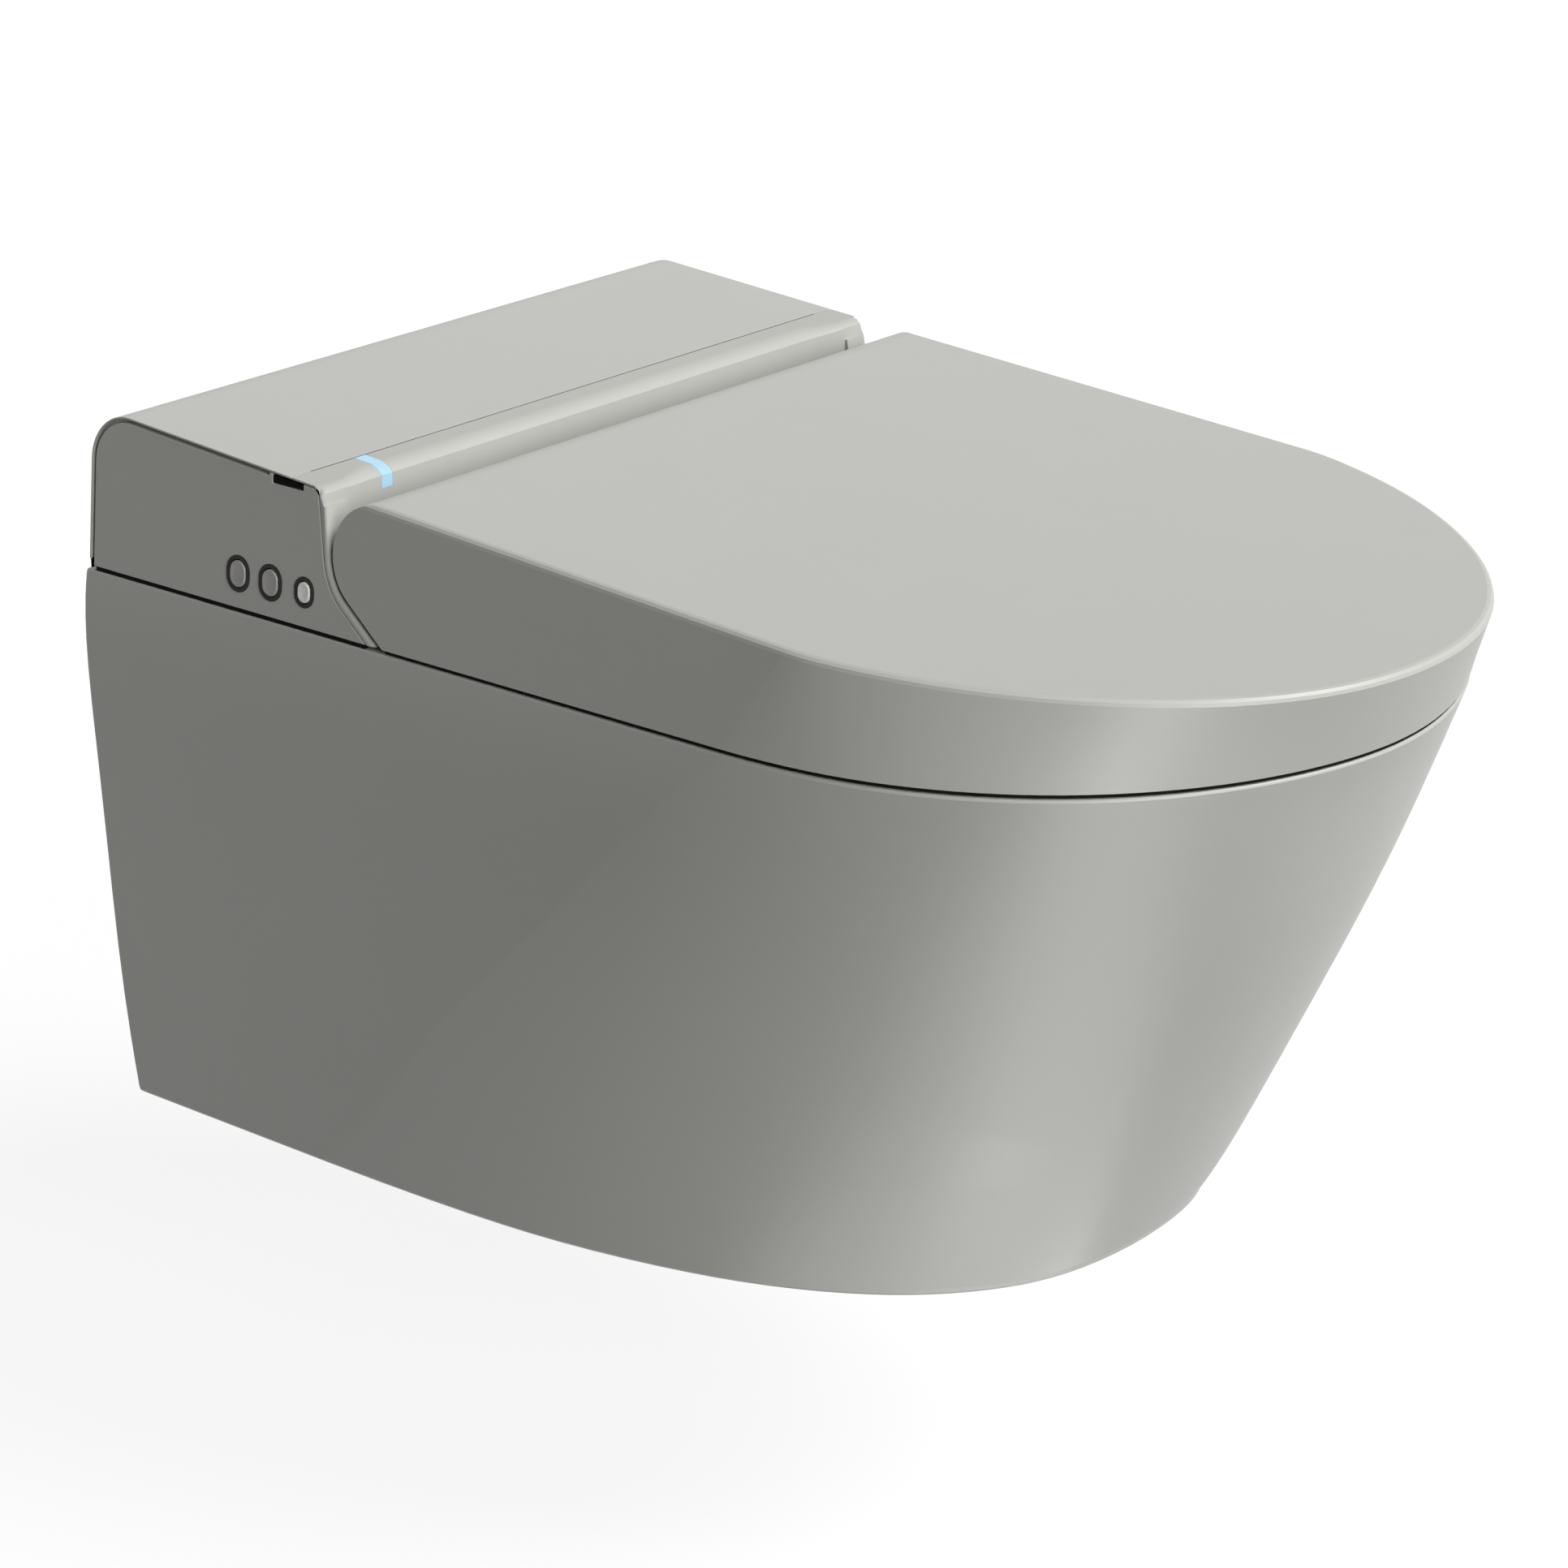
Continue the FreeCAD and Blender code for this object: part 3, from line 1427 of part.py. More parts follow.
heat_from_mouth = 18.0
heat_length = 32.0
heat_front = duct_mouth - heat_from_mouth
heat_rear = heat_front - heat_length
heat_plate = 0.8
heat_gap = 0.6
heat_plate_count = 7


def dryer_heater():
    low = base_top + duct_wall + heat_gap
    high = base_top + duct_height - duct_wall - heat_gap
    left = duct_left + duct_wall
    right = duct_right - duct_wall
    plates = []
    for k in range(heat_plate_count):
        x = left + (right - left) * (k + 1) / (heat_plate_count + 1)
        plates.append(box(x - heat_plate * half, -heat_front, low, x + heat_plate * half, -heat_rear, high))
    bar = (low + high) * half
    for y in (-heat_front + heat_plate, -heat_rear - 4 * heat_plate):
        plates.append(box(left, y, bar - heat_plate, right, y + 3 * heat_plate, bar + heat_plate))
    return join(plates)


filter_left = -56.0
filter_right = -20.0
filter_front = 134.0
filter_rear = 92.0
filter_height = 24.0
slot_count = 5


def odour_filter():
    top = base_top + filter_height
    case = rounded_box(filter_left, -filter_front, base_top, filter_right, -filter_rear, top)
    pitch = (filter_right - filter_left) / (slot_count + 1)
    for k in range(slot_count):
        x = filter_left + (k + 1) * pitch
        case = case.cut(box(x - pitch / 4, -filter_front + 2 * case_round, top - case_round,
                            x + pitch / 4, -filter_rear - 2 * case_round, top + overrun))
    return case


# Hinge hardware
pin_overhang = 0.5


def hinge_pins():
    end = lid_boss_end + pin_overhang
    pins = [rod(pin_radius, hinge_point(side * damper_end), hinge_point(side * end)) for side in both_sides]
    return Part.Compound(pins)


def hinge_damper(side):
    body = rod(damper_radius, hinge_point(side * damper_start), hinge_point(side * damper_end))
    cap = rod(damper_radius - case_round * half, hinge_point(side * (damper_start - case_round)),
              hinge_point(side * damper_start))
    return body.fuse(cap)


hood_wall = 1.8


def hood_block(wall, x0, x1):
    # Side view of a damper's cover: upright front and rear under a round top on the hinge line
    radius = tower_front + slip_gap + wall
    rear = damper_radius + slip_gap + wall
    foot = base_top + fit_gap if wall else base_top - overrun
    front_foot = V(0, hinge_y - radius, foot)
    front_top = V(0, hinge_y - radius, hinge_z)
    rear_top = V(0, hinge_y + rear, hinge_z + math.sqrt(radius * radius - rear * rear))
    rear_foot = V(0, hinge_y + rear, foot)
    return prism_x([
        Part.makeLine(front_foot, front_top),
        Part.Arc(front_top, V(0, hinge_y, hinge_z + radius), rear_top).toShape(),
        Part.makeLine(rear_top, rear_foot),
        Part.makeLine(rear_foot, front_foot),
    ], x0, x1)


def damper_hoods():
    start = damper_start - case_round - damper_gap
    end = damper_end + damper_gap * half
    hood = hood_block(hood_wall, start, end).cut(hood_block(0, start + hood_wall, end + overrun))
    duct = box(duct_left - port_clearance, -base_front, unit_bottom, duct_right + port_clearance, 0,
               base_top + duct_height + port_clearance)
    return Part.Compound([mirrored(hood), hood.cut(duct)])


# Seat
seat_rise = 6.0
seat_thickness = 19.0
seat_side = 9.8
seat_front_margin = 6.8
seat_ring_side = 75.0
seat_ring_front = 60.0
seat_half_width = side_half_width - seat_side
seat_length = lid_length - seat_front_margin
seat_rear = 208.0
seat_hole_half = seat_half_width - seat_ring_side
seat_hole_front = seat_length - seat_ring_front
seat_hole_rear = 252.0
seat_wall = 3.5
seat_round = 6.0
seat_side_roundness = 2.0
seat_front_roundness = 2.1
seat_plate = 2.5
heater_film = 0.8
arm_reach = 30.0
seat_buffer_radius = 9.0
seat_buffer_side = 41.0
seat_buffer_front = 82.0
seat_buffer_taper = 20.0
seat_buffer_x = seat_half_width - seat_buffer_side
seat_buffer_places = [(seat_buffer_x, 300.0),
                      (seat_buffer_x - seat_buffer_taper, seat_length - seat_buffer_front)]

seat_bottom = rim_height + seat_rise
seat_top = seat_bottom + seat_thickness


def seat_outline(inset, level, back=0):
    return outline(2 * (seat_half_width - inset), seat_length - inset, lid_straight, seat_side_roundness,
                   seat_front_roundness, level, back=back)


def seat_hole(inset, level):
    return oval(seat_hole_half + inset, seat_hole_front + inset, seat_hole_rear - inset, bowl_roundness, level)


def seat_ring(inset, low, high):
    ring = Part.Face(seat_outline(inset, low, seat_rear + inset)).extrude(V(0, 0, high - low))
    hole = Part.Face(seat_hole(inset, low - overrun)).extrude(V(0, 0, high - low + 2 * overrun))
    return ring.cut(hole)


def seat_crown():
    # The rounded upper part: outer edges fall away, and so does the edge round the hole
    steps = rounding(seat_round)
    top = Part.makeLoft([seat_outline(x, seat_top - left, seat_rear + x) for x, left in steps], True, True)
    hole = Part.makeLoft([seat_hole(x, seat_top - left) for x, left in steps], True, True)
    return top.cut(hole)


def seat_arm(side):
    ends = sorted((side * seat_boss_start, side * seat_boss_end))
    reach = seat_rear + arm_reach
    bar = polygon_x([
        (hinge_y, hinge_z + boss_radius),
        (-reach, seat_top - seat_wall * half),
        (-reach, seat_bottom + seat_plate + seat_wall * half),
        (-seat_rear + seat_wall, seat_bottom + seat_plate + seat_wall * half),
        (hinge_y, hinge_z - boss_radius),
    ], ends[0], ends[1])
    arm = bar.fuse(rod(boss_radius, hinge_point(ends[0]), hinge_point(ends[1])))
    return arm


def seat_pin_bore(side):
    return rod(pin_radius + pin_clearance, hinge_point(side * (seat_boss_start - overrun)),
               hinge_point(side * (seat_boss_end + overrun)))


def seat_shell():
    body = seat_ring(0, seat_bottom, seat_top - seat_round).fuse(seat_crown())
    body = body.cut(seat_ring(seat_wall, seat_bottom - overrun, seat_top - seat_wall))
    for side in both_sides:
        body = body.fuse(seat_arm(side))
    body = body.removeSplitter()
    for side in both_sides:
        body = body.cut(seat_pin_bore(side))
    return body


def clear_of_arms(shape):
    for side in both_sides:
        ends = sorted((side * (seat_boss_start - slip_gap), side * (seat_boss_end + slip_gap)))
        shape = shape.cut(box(ends[0], -seat_rear - arm_reach - slip_gap, seat_bottom + seat_plate + slip_gap,
                              ends[1], 0, seat_top))
    return shape


def seat_base():
    return seat_ring(seat_wall + fit_gap, seat_bottom, seat_bottom + seat_plate)


def seat_heater():
    top = seat_top - seat_wall - fit_gap
    return clear_of_arms(seat_ring(seat_wall + seat_round, top - heater_film, top))


def seat_buffers():
    pads = []
    for x, from_wall in seat_buffer_places:
        for side in both_sides:
            low = V(side * x, -from_wall, rim_height + slip_gap)
            pads.append(rod(seat_buffer_radius, low, V(low.x, low.y, seat_bottom)))
    return Part.Compound(pads)


# Lid


def lid_top(y):
    return lid_top_at_hinge + lid_slope * (y - hinge_y)


def lid_outline(rise, inset, drop):
    # Outline of the lid on the sloping plane that lies drop under its top face
    share = (rise - unit_gap) / hinge_rise
    side = lid_side_roundness + (lid_side_roundness_top - lid_side_roundness) * share
    front = lid_front_roundness + (lid_front_roundness_top - lid_front_roundness) * share
    width = lid_width - lid_taper * (rise - unit_gap) - 2 * inset
    length = lid_length + lid_reach * (rise - unit_gap) - inset
    straight = lid_straight + lid_straight_gain * (rise - unit_gap)
    level = lid_top_at_hinge - drop - lid_slope * hinge_y
    return outline(width, length, straight, side, front, level, lid_slope)


def lid_foot(inset, low):
    return outline(lid_width - 2 * inset, lid_length - inset, lid_straight, lid_side_roundness,
                   lid_front_roundness, low)


def lid_block(inset):
    top_rise = lid_top_at_hinge - rim_height - lid_slope * (lid_length - hinge_from_wall) * half
    low = unit_bottom if inset == 0 else unit_bottom - fit_gap
    under = lid_outline(top_rise, inset, max(lid_round, inset))
    block = Part.makeLoft([lid_foot(inset, low), under], True, True)
    if inset == 0:
        rings = [lid_outline(top_rise, side_in, left) for side_in, left in rounding(lid_round)]
        block = block.fuse(Part.makeLoft(rings, True, True))
    return block


def lid_side_edges():
    # Side view: flat foot, tangent, rear arc, sloping top, and a plain front beyond the lid
    end, foot = cheek_gap_line(lid_rear_radius)
    lean = math.atan(lid_slope)
    top = V(0, hinge_y - lid_rear_radius * math.sin(lean), hinge_z + lid_rear_radius * math.cos(lean))
    turn = (math.pi * half + lean - math.radians(cheek_tangent_degrees)) * half
    middle = V(0, hinge_y + lid_rear_radius * math.cos(turn), hinge_z + lid_rear_radius * math.sin(turn))
    far = -lid_length - 4 * overrun
    far_top = V(0, far, lid_top(far) + overrun)
    above = V(0, top.y, top.z + overrun)
    far_foot = V(0, far, unit_bottom)
    return [
        Part.makeLine(foot, end),
        Part.Arc(end, middle, top).toShape(),
        Part.makeLine(top, above),
        Part.makeLine(above, far_top),
        Part.makeLine(far_top, far_foot),
        Part.makeLine(far_foot, foot),
    ]


def lid_space_edges():
    # Side view of the hollow: under the top plate, round inside the rear lip, then open to the rear
    radius = lid_rear_radius - lid_wall
    lean = math.atan(lid_slope)
    turn = math.radians(lip_end_degrees)
    top = V(0, hinge_y - radius * math.sin(lean), hinge_z + radius * math.cos(lean))
    lip = V(0, hinge_y + radius * math.cos(turn), hinge_z + radius * math.sin(turn))
    far_out = 2 * lid_rear_radius
    outer = V(0, hinge_y + far_out * math.cos(turn), hinge_z + far_out * math.sin(turn))
    middle_turn = (math.pi * half + lean + turn) * half
    middle = V(0, hinge_y + radius * math.cos(middle_turn), hinge_z + radius * math.sin(middle_turn))
    far = -lid_length - 4 * overrun
    low = unit_bottom - overrun
    far_top = V(0, far, top.z + lid_slope * (far - top.y))
    return [
        Part.makeLine(far_top, top),
        Part.Arc(top, middle, lip).toShape(),
        Part.makeLine(lip, outer),
        Part.makeLine(outer, V(0, outer.y, low)),
        Part.makeLine(V(0, outer.y, low), V(0, far, low)),
        Part.makeLine(V(0, far, low), far_top),
    ]


lid_buffer_radius = 8.0
lid_buffer_height = 4.5
lid_buffer_side = 31.0
lid_buffer_front = 42.0
lid_buffer_taper = 60.0
lid_buffer_x = seat_half_width - lid_buffer_side
lid_buffer_places = [(lid_buffer_x, 330.0), (lid_buffer_x - lid_buffer_taper, seat_length - lid_buffer_front)]


def lid_boss(side):
    ends = sorted((side * lid_boss_start, side * lid_boss_end))
    barrel = rod(boss_radius, hinge_point(ends[0]), hinge_point(ends[1]))
    rib = box(ends[0], hinge_y - boss_radius, hinge_z, ends[1], hinge_y + boss_radius * half,
              hinge_z + lid_rear_radius - lid_wall * half)
    return barrel.fuse(rib)


def lid_shell():
    wide = lid_width
    body = lid_block(0).common(prism_x(lid_side_edges(), -wide, wide))
    space = lid_block(lid_wall).common(prism_x(lid_space_edges(), -wide, wide))
    body = body.cut(space)
    parts = [body]
    for side in both_sides:
        parts.append(lid_boss(side))
        for x, from_wall in lid_buffer_places:
            low = V(side * x, -from_wall, seat_top + slip_gap + lid_buffer_height)
            parts.append(rod(lid_buffer_radius, low, V(low.x, low.y, lid_top(-from_wall) - lid_wall * half)))
    lid = join(parts)
    for side in both_sides:
        bore = rod(pin_radius + pin_clearance, hinge_point(side * (lid_boss_start - overrun)),
                   hinge_point(side * (lid_boss_end + overrun)))
        lid = lid.cut(bore)
    return lid


def lid_buffers():
    pads = []
    for x, from_wall in lid_buffer_places:
        for side in both_sides:
            low = V(side * x, -from_wall, seat_top + slip_gap)
            pads.append(rod(lid_buffer_radius, low, low + V(0, 0, lid_buffer_height)))
    return Part.Compound(pads)


pieces = {
    "ceramic_pan": ceramic_pan,
    "wall_bushes": wall_bushes,
    "wall_washers": wall_washers,
    "wall_nuts": wall_nuts,
    "inlet_grommet": inlet_grommet,
    "outlet_gasket": outlet_gasket,
    "base_plate": base_plate,
    "base_pads": base_pads,
    "fixing_bolts": fixing_bolts,
    "expansion_plugs": expansion_plugs,
    "top_cover": top_cover,
    "front_nose": front_nose,
    "light_pipe": light_pipe,
    "side_cap_right": side_cap_right,
    "side_cap_left": side_cap_left,
    "sensor_window": sensor_window,
    "button_bezels": button_bezels,
    "wash_button": lambda: push_button(0),
    "dry_button": lambda: push_button(1),
    "power_button": lambda: push_button(2),
    "button_mat": button_mat,
    "button_board": button_board,
    "cover_screws": cover_screws,
    "control_board": control_board,
    "power_supply": power_supply,
    "cable_gland": cable_gland,
    "inlet_fitting": inlet_fitting,
    "water_filter": water_filter,
    "inlet_valve": inlet_valve,
    "water_heater": water_heater,
    "supply_hose": supply_hose,
    "nozzle_hose": nozzle_hose,
    "nozzle_guide": nozzle_guide,
    "nozzle_tube": nozzle_tube,
    "nozzle_tip": nozzle_tip,
    "nozzle_rack": nozzle_rack,
    "nozzle_pinion": nozzle_pinion,
    "stepper_motor": stepper_motor,
    "blower_housing": blower_housing,
    "blower_impeller": blower_impeller,
    "blower_motor": blower_motor,
    "dryer_duct": dryer_duct,
    "dryer_heater": dryer_heater,
    "dryer_flap": dryer_flap,
    "odour_filter": odour_filter,
    "hinge_pins": hinge_pins,
    "lid_damper": lambda: hinge_damper(1),
    "seat_damper": lambda: hinge_damper(-1),
    "damper_hoods": damper_hoods,
    "seat_shell": seat_shell,
    "seat_base": seat_base,
    "seat_heater": seat_heater,
    "seat_buffers": seat_buffers,
    "lid_shell": lid_shell,
    "lid_buffers": lid_buffers,
}

for node, build in pieces.items():
    shape = build()
    print(node, len(shape.Solids), shape.isValid(), round(shape.Volume / 1000, 2))
    shape.exportStep("parts/" + node + ".step")
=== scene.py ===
import bmesh
import bpy
import json
import math
from mathutils import Matrix, Vector


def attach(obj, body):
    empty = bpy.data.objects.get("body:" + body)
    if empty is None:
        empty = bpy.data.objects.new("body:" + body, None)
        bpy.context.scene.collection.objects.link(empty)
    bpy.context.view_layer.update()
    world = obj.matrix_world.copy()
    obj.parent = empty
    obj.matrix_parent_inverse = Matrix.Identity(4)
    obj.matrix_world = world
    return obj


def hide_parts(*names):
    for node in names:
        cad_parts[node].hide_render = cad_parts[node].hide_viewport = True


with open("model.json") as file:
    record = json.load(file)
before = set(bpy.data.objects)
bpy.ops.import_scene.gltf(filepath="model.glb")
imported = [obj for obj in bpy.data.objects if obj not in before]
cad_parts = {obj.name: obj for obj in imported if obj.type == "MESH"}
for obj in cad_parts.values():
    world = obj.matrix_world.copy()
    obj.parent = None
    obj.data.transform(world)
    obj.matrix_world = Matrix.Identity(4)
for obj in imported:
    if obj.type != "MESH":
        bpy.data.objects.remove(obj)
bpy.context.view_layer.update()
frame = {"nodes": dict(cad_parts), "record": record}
nodes = frame["nodes"]
print("stage: frame loaded,", len(nodes), "nodes")

cameraSetup = {  # the photograph's viewing angle
    "place": (-1.6021, -1.6026, 0.7633),
    "azimuth": -49.948,
    "elevation": 20.599,
    "lens": 111.44,
    "sensor": 36.0,
    "clip": (0.05, 60),
}


def direction(azimuth, elevation):
    a, e = math.radians(azimuth), math.radians(elevation)
    return Vector((math.sin(a) * math.cos(e), -math.cos(a) * math.cos(e), math.sin(e)))


def turnTo(item, way, forward):
    item.rotation_mode = "QUATERNION"
    item.rotation_quaternion = way.to_track_quat(forward, "Y")


def addCamera(setup):
    data = bpy.data.cameras.new("camera")
    data.lens = setup["lens"]
    data.sensor_width = setup["sensor"]
    data.clip_start, data.clip_end = setup["clip"]
    camera = bpy.data.objects.new("camera", data)
    camera.location = setup["place"]
    turnTo(camera, -direction(setup["azimuth"], setup["elevation"]), "-Z")
    bpy.context.scene.collection.objects.link(camera)
    bpy.context.scene.camera = camera


addCamera(cameraSetup)

studio = {  # levels are what a white card facing the lamp would read
    "target": (0, -0.30, 0),
    "keys": [
        {"azimuth": 24, "elevation": 46, "spread": 30, "level": 0.77},
        {"azimuth": -22, "elevation": 20, "spread": 30, "level": 0.60},
    ],
    "rear": {"azimuth": 125, "elevation": 12, "distance": 3.0, "size": (2.0, 1.6), "level": 0.30},
    "cards": [
        {"place": (-0.19, -0.67), "turn": -20, "size": (0.36, 0.60), "level": 2.0},
        {"place": (-0.19, -0.67), "turn": -20, "size": (0.08, 0.42), "level": 4.0},
        {"place": (-0.58, -1.18), "turn": -36, "size": (0.30, 0.55), "level": 8.0},
    ],
    "cardLift": 0.002,
    "around": 0.02,
    "mirrored": 1.0,
    "floorHeight": -0.345,
    "floorSize": 30.0,
    "floorGlow": 0.86,
    "floorCard": 0.19,
    "floorGrey": 0.10,
}


def addKey(lamp):
    # a distant softbox, so the floor is lit the same all over
    data = bpy.data.lights.new("keyBox", "SUN")
    data.angle = math.radians(lamp["spread"])
    data.energy = lamp["level"] * math.pi
    box = bpy.data.objects.new("keyBox", data)
    turnTo(box, direction(lamp["azimuth"], lamp["elevation"]), "Z")
    bpy.context.scene.collection.objects.link(box)


def addPanel(name, lamp, energy):
    data = bpy.data.lights.new(name, "AREA")
    data.shape = "RECTANGLE"
    data.size, data.size_y = lamp["size"]
    data.energy = energy
    box = bpy.data.objects.new(name, data)
    bpy.context.scene.collection.objects.link(box)
    return box


def addSoftbox(name, lamp, target):
    box = addPanel(name, lamp, lamp["level"] * math.pi ** 2 * lamp["distance"] ** 2)
    way = direction(lamp["azimuth"], lamp["elevation"])
    box.location = Vector(target) + way * lamp["distance"]
    turnTo(box, way, "Z")
    box.visible_glossy = False


def addFloorCard(card, height):
    # a lit card lying in front of the pan, which only shiny surfaces see
    box = addPanel("floorCard", card, card["level"] * math.pi * card["size"][0] * card["size"][1])
    box.location = (*card["place"], height)
    box.rotation_euler = (math.pi, 0, math.radians(card["turn"]))
    box.visible_diffuse = False


def addNode(tree, kind, **values):
    # values are socket names with their spaces left out
    node = tree.nodes.new("ShaderNode" + kind)
    for socket in node.inputs:
        name = socket.name.replace(" ", "")
        if name in values:
            socket.default_value = values[name]
    return node


def splitRays(tree, out, lit, mirrored, seen):
    # the camera sees one shader, shiny surfaces see another and the rest is lit by the third
    path = addNode(tree, "LightPath")
    shiny = addNode(tree, "MixShader")
    plain = addNode(tree, "MixShader")
    either = addNode(tree, "Math")
    either.operation = "MAXIMUM"
    tree.links.new(path.outputs["Is Camera Ray"], either.inputs[0])
    tree.links.new(path.outputs["Is Transmission Ray"], either.inputs[1])
    tree.links.new(path.outputs["Is Glossy Ray"], shiny.inputs[0])
    tree.links.new(lit.outputs[0], shiny.inputs[1])
    tree.links.new(mirrored.outputs[0], shiny.inputs[2])
    tree.links.new(either.outputs[0], plain.inputs[0])
    tree.links.new(shiny.outputs[0], plain.inputs[1])
    tree.links.new(seen.outputs[0], plain.inputs[2])
    tree.links.new(plain.outputs[0], out.inputs["Surface"])


def addWorld(setup):
    world = bpy.data.worlds.new("studio")
    bpy.context.scene.world = world
    world.use_nodes = True
    tree = world.node_tree
    tree.nodes.clear()
    out = addNode(tree, "OutputWorld")
    white = (1, 1, 1, 1)
    around = addNode(tree, "Background", Color=white, Strength=setup["around"])
    mirrored = addNode(tree, "Background", Color=white, Strength=setup["mirrored"])
    seen = addNode(tree, "Background", Color=white, Strength=1)
    splitRays(tree, out, around, mirrored, seen)


def addFloor(setup):
    shape = bmesh.new()
    bmesh.ops.create_grid(shape, x_segments=2, y_segments=2, size=setup["floorSize"])
    bmesh.ops.translate(shape, vec=(0, 0, setup["floorHeight"]), verts=shape.verts)
    mesh = bpy.data.meshes.new("floor")
    shape.to_mesh(mesh)
    shape.free()
    floor = bpy.data.objects.new("floor", mesh)
    bpy.context.scene.collection.objects.link(floor)
    paper = bpy.data.materials.new("floorPaper")
    paper.use_nodes = True
    tree = paper.node_tree
    tree.nodes.clear()
    out = addNode(tree, "OutputMaterial")
    shade = addNode(tree, "BsdfDiffuse", Color=(*[setup["floorCard"]] * 3, 1))
    glow = addNode(tree, "Emission", Strength=setup["floorGlow"])
    white = addNode(tree, "AddShader")
    tree.links.new(shade.outputs[0], white.inputs[0])
    tree.links.new(glow.outputs[0], white.inputs[1])
    dull = addNode(tree, "BsdfDiffuse", Color=(*[setup["floorGrey"]] * 3, 1))
    soft = addNode(tree, "Emission", Strength=setup["mirrored"])
    splitRays(tree, out, dull, soft, white)
    floor.data.materials.append(paper)


bpy.context.scene.view_settings.view_transform = "Standard"
for lamp in studio["keys"]:
    addKey(lamp)
addSoftbox("rearBox", studio["rear"], studio["target"])
for card in studio["cards"]:
    addFloorCard(card, studio["floorHeight"] + studio["cardLift"])
addWorld(studio)
addFloor(studio)
print("stage: camera, lights and floor")

finishes = {  # one for each slot, all from noise on Object coordinates
    "glazed_ceramic": {
        "colour": (0.500, 0.506, 0.472), "drift": 0.006, "patch": 14, "rough": (0.365, 0.385),
        "grain": 260, "depth": 0.00002, "wave": 34, "swell": 0.00004},
    "cover_plastic": {
        "colour": (0.505, 0.511, 0.477), "drift": 0.005, "patch": 16, "rough": (0.385, 0.405),
        "grain": 1400, "depth": 0.000012, "wave": 20, "swell": 0.00001},
    "nose_plastic": {
        "colour": (0.495, 0.498, 0.463), "drift": 0.005, "patch": 16, "rough": (0.385, 0.405),
        "grain": 1400, "depth": 0.000012, "wave": 20, "swell": 0.00001, "gloss": 0.2},
    "seat_plastic": {
        "colour": (0.55, 0.555, 0.53), "drift": 0.005, "patch": 6, "rough": (0.29, 0.31),
        "grain": 900, "depth": 0.00001, "wave": 18, "swell": 0.00002},
    "black_window": {
        "colour": (0.002, 0.002, 0.002), "drift": 0.1, "patch": 60, "rough": (0.30, 0.38),
        "grain": 600, "depth": 0.000004, "wave": 60, "swell": 0.00001, "gloss": 0.03},
    "ring_plastic": {
        "colour": (0.014, 0.014, 0.011), "drift": 0.08, "patch": 90, "rough": (0.38, 0.52),
        "grain": 2600, "depth": 0.00002, "wave": 90, "swell": 0.00001, "gloss": 0.16},
    "button_plastic": {
        "colour": (0.42, 0.41, 0.39), "drift": 0.04, "patch": 120, "rough": (0.30, 0.42),
        "grain": 3000, "depth": 0.000012, "wave": 120, "swell": 0.00001},
    # the power key's glow is painted light, lifting it brighter than its colour alone
    "button_pale": {
        "colour": (0.84, 0.82, 0.79), "drift": 0.03, "patch": 120, "rough": (0.28, 0.40),
        "grain": 3000, "depth": 0.000012, "wave": 120, "swell": 0.00001,
        "glow": (1, 0.96, 0.92), "glowLevel": 0.06},
    "frame_plastic": {
        "colour": (0.060, 0.062, 0.065), "drift": 0.10, "patch": 22, "rough": (0.48, 0.66),
        "grain": 1500, "depth": 0.00006, "wave": 40, "swell": 0.00006},
    "white_plastic": {
        "colour": (0.66, 0.67, 0.66), "drift": 0.03, "patch": 26, "rough": (0.36, 0.50),
        "grain": 1300, "depth": 0.00004, "wave": 40, "swell": 0.00005},
    # near black: the real colour of the rubber pads, darkened further as painted shade for the strips
    # and bead in the gaps
    "soft_rubber": {
        "colour": (0.008, 0.008, 0.008), "drift": 0.18, "patch": 60, "rough": (0.62, 0.82),
        "grain": 1900, "depth": 0.00008, "wave": 70, "swell": 0.00008, "gloss": 0.04},
    "grey_rubber": {
        "colour": (0.33, 0.33, 0.32), "drift": 0.06, "patch": 60, "rough": (0.50, 0.66),
        "grain": 1900, "depth": 0.00004, "wave": 70, "swell": 0.00005},
    "zinc_steel": {
        "colour": (0.56, 0.56, 0.54), "drift": 0.10, "patch": 70, "rough": (0.30, 0.50), "metal": 1,
        "grain": 900, "depth": 0.00004, "wave": 90, "swell": 0.00002},
    "stainless": {
        "colour": (0.62, 0.615, 0.60), "drift": 0.06, "patch": 50, "rough": (0.20, 0.34), "metal": 1,
        "grain": 1400, "depth": 0.00003, "wave": 60, "swell": 0.00002, "brush": (1, 14, 1)},
    "brass_fitting": {
        "colour": (0.72, 0.53, 0.24), "drift": 0.10, "patch": 60, "rough": (0.22, 0.40), "metal": 1,
        "grain": 1200, "depth": 0.00003, "wave": 60, "swell": 0.00002, "brush": (1, 12, 1)},
    "circuit_board": {
        "colour": (0.02, 0.13, 0.055), "drift": 0.20, "patch": 160, "rough": (0.30, 0.46),
        "grain": 700, "depth": 0.00005, "wave": 200, "swell": 0.00003},
    "heater_film": {
        "colour": (0.50, 0.22, 0.07), "drift": 0.15, "patch": 45, "rough": (0.28, 0.40),
        "grain": 500, "depth": 0.00004, "wave": 60, "swell": 0.00006},
    "motor_metal": {
        "colour": (0.52, 0.52, 0.53), "drift": 0.08, "patch": 50, "rough": (0.26, 0.44), "metal": 1,
        "grain": 1100, "depth": 0.00004, "wave": 60, "swell": 0.00003, "brush": (1, 1, 10)},
    "light_diffuser": {
        "colour": (0.22, 0.335, 0.38), "drift": 0.03, "patch": 90, "rough": (0.30, 0.40),
        "grain": 2600, "depth": 0.00001, "wave": 90, "swell": 0.00001,
        "glow": (0.402, 0.730, 1.0), "glowLevel": 0.50},
}
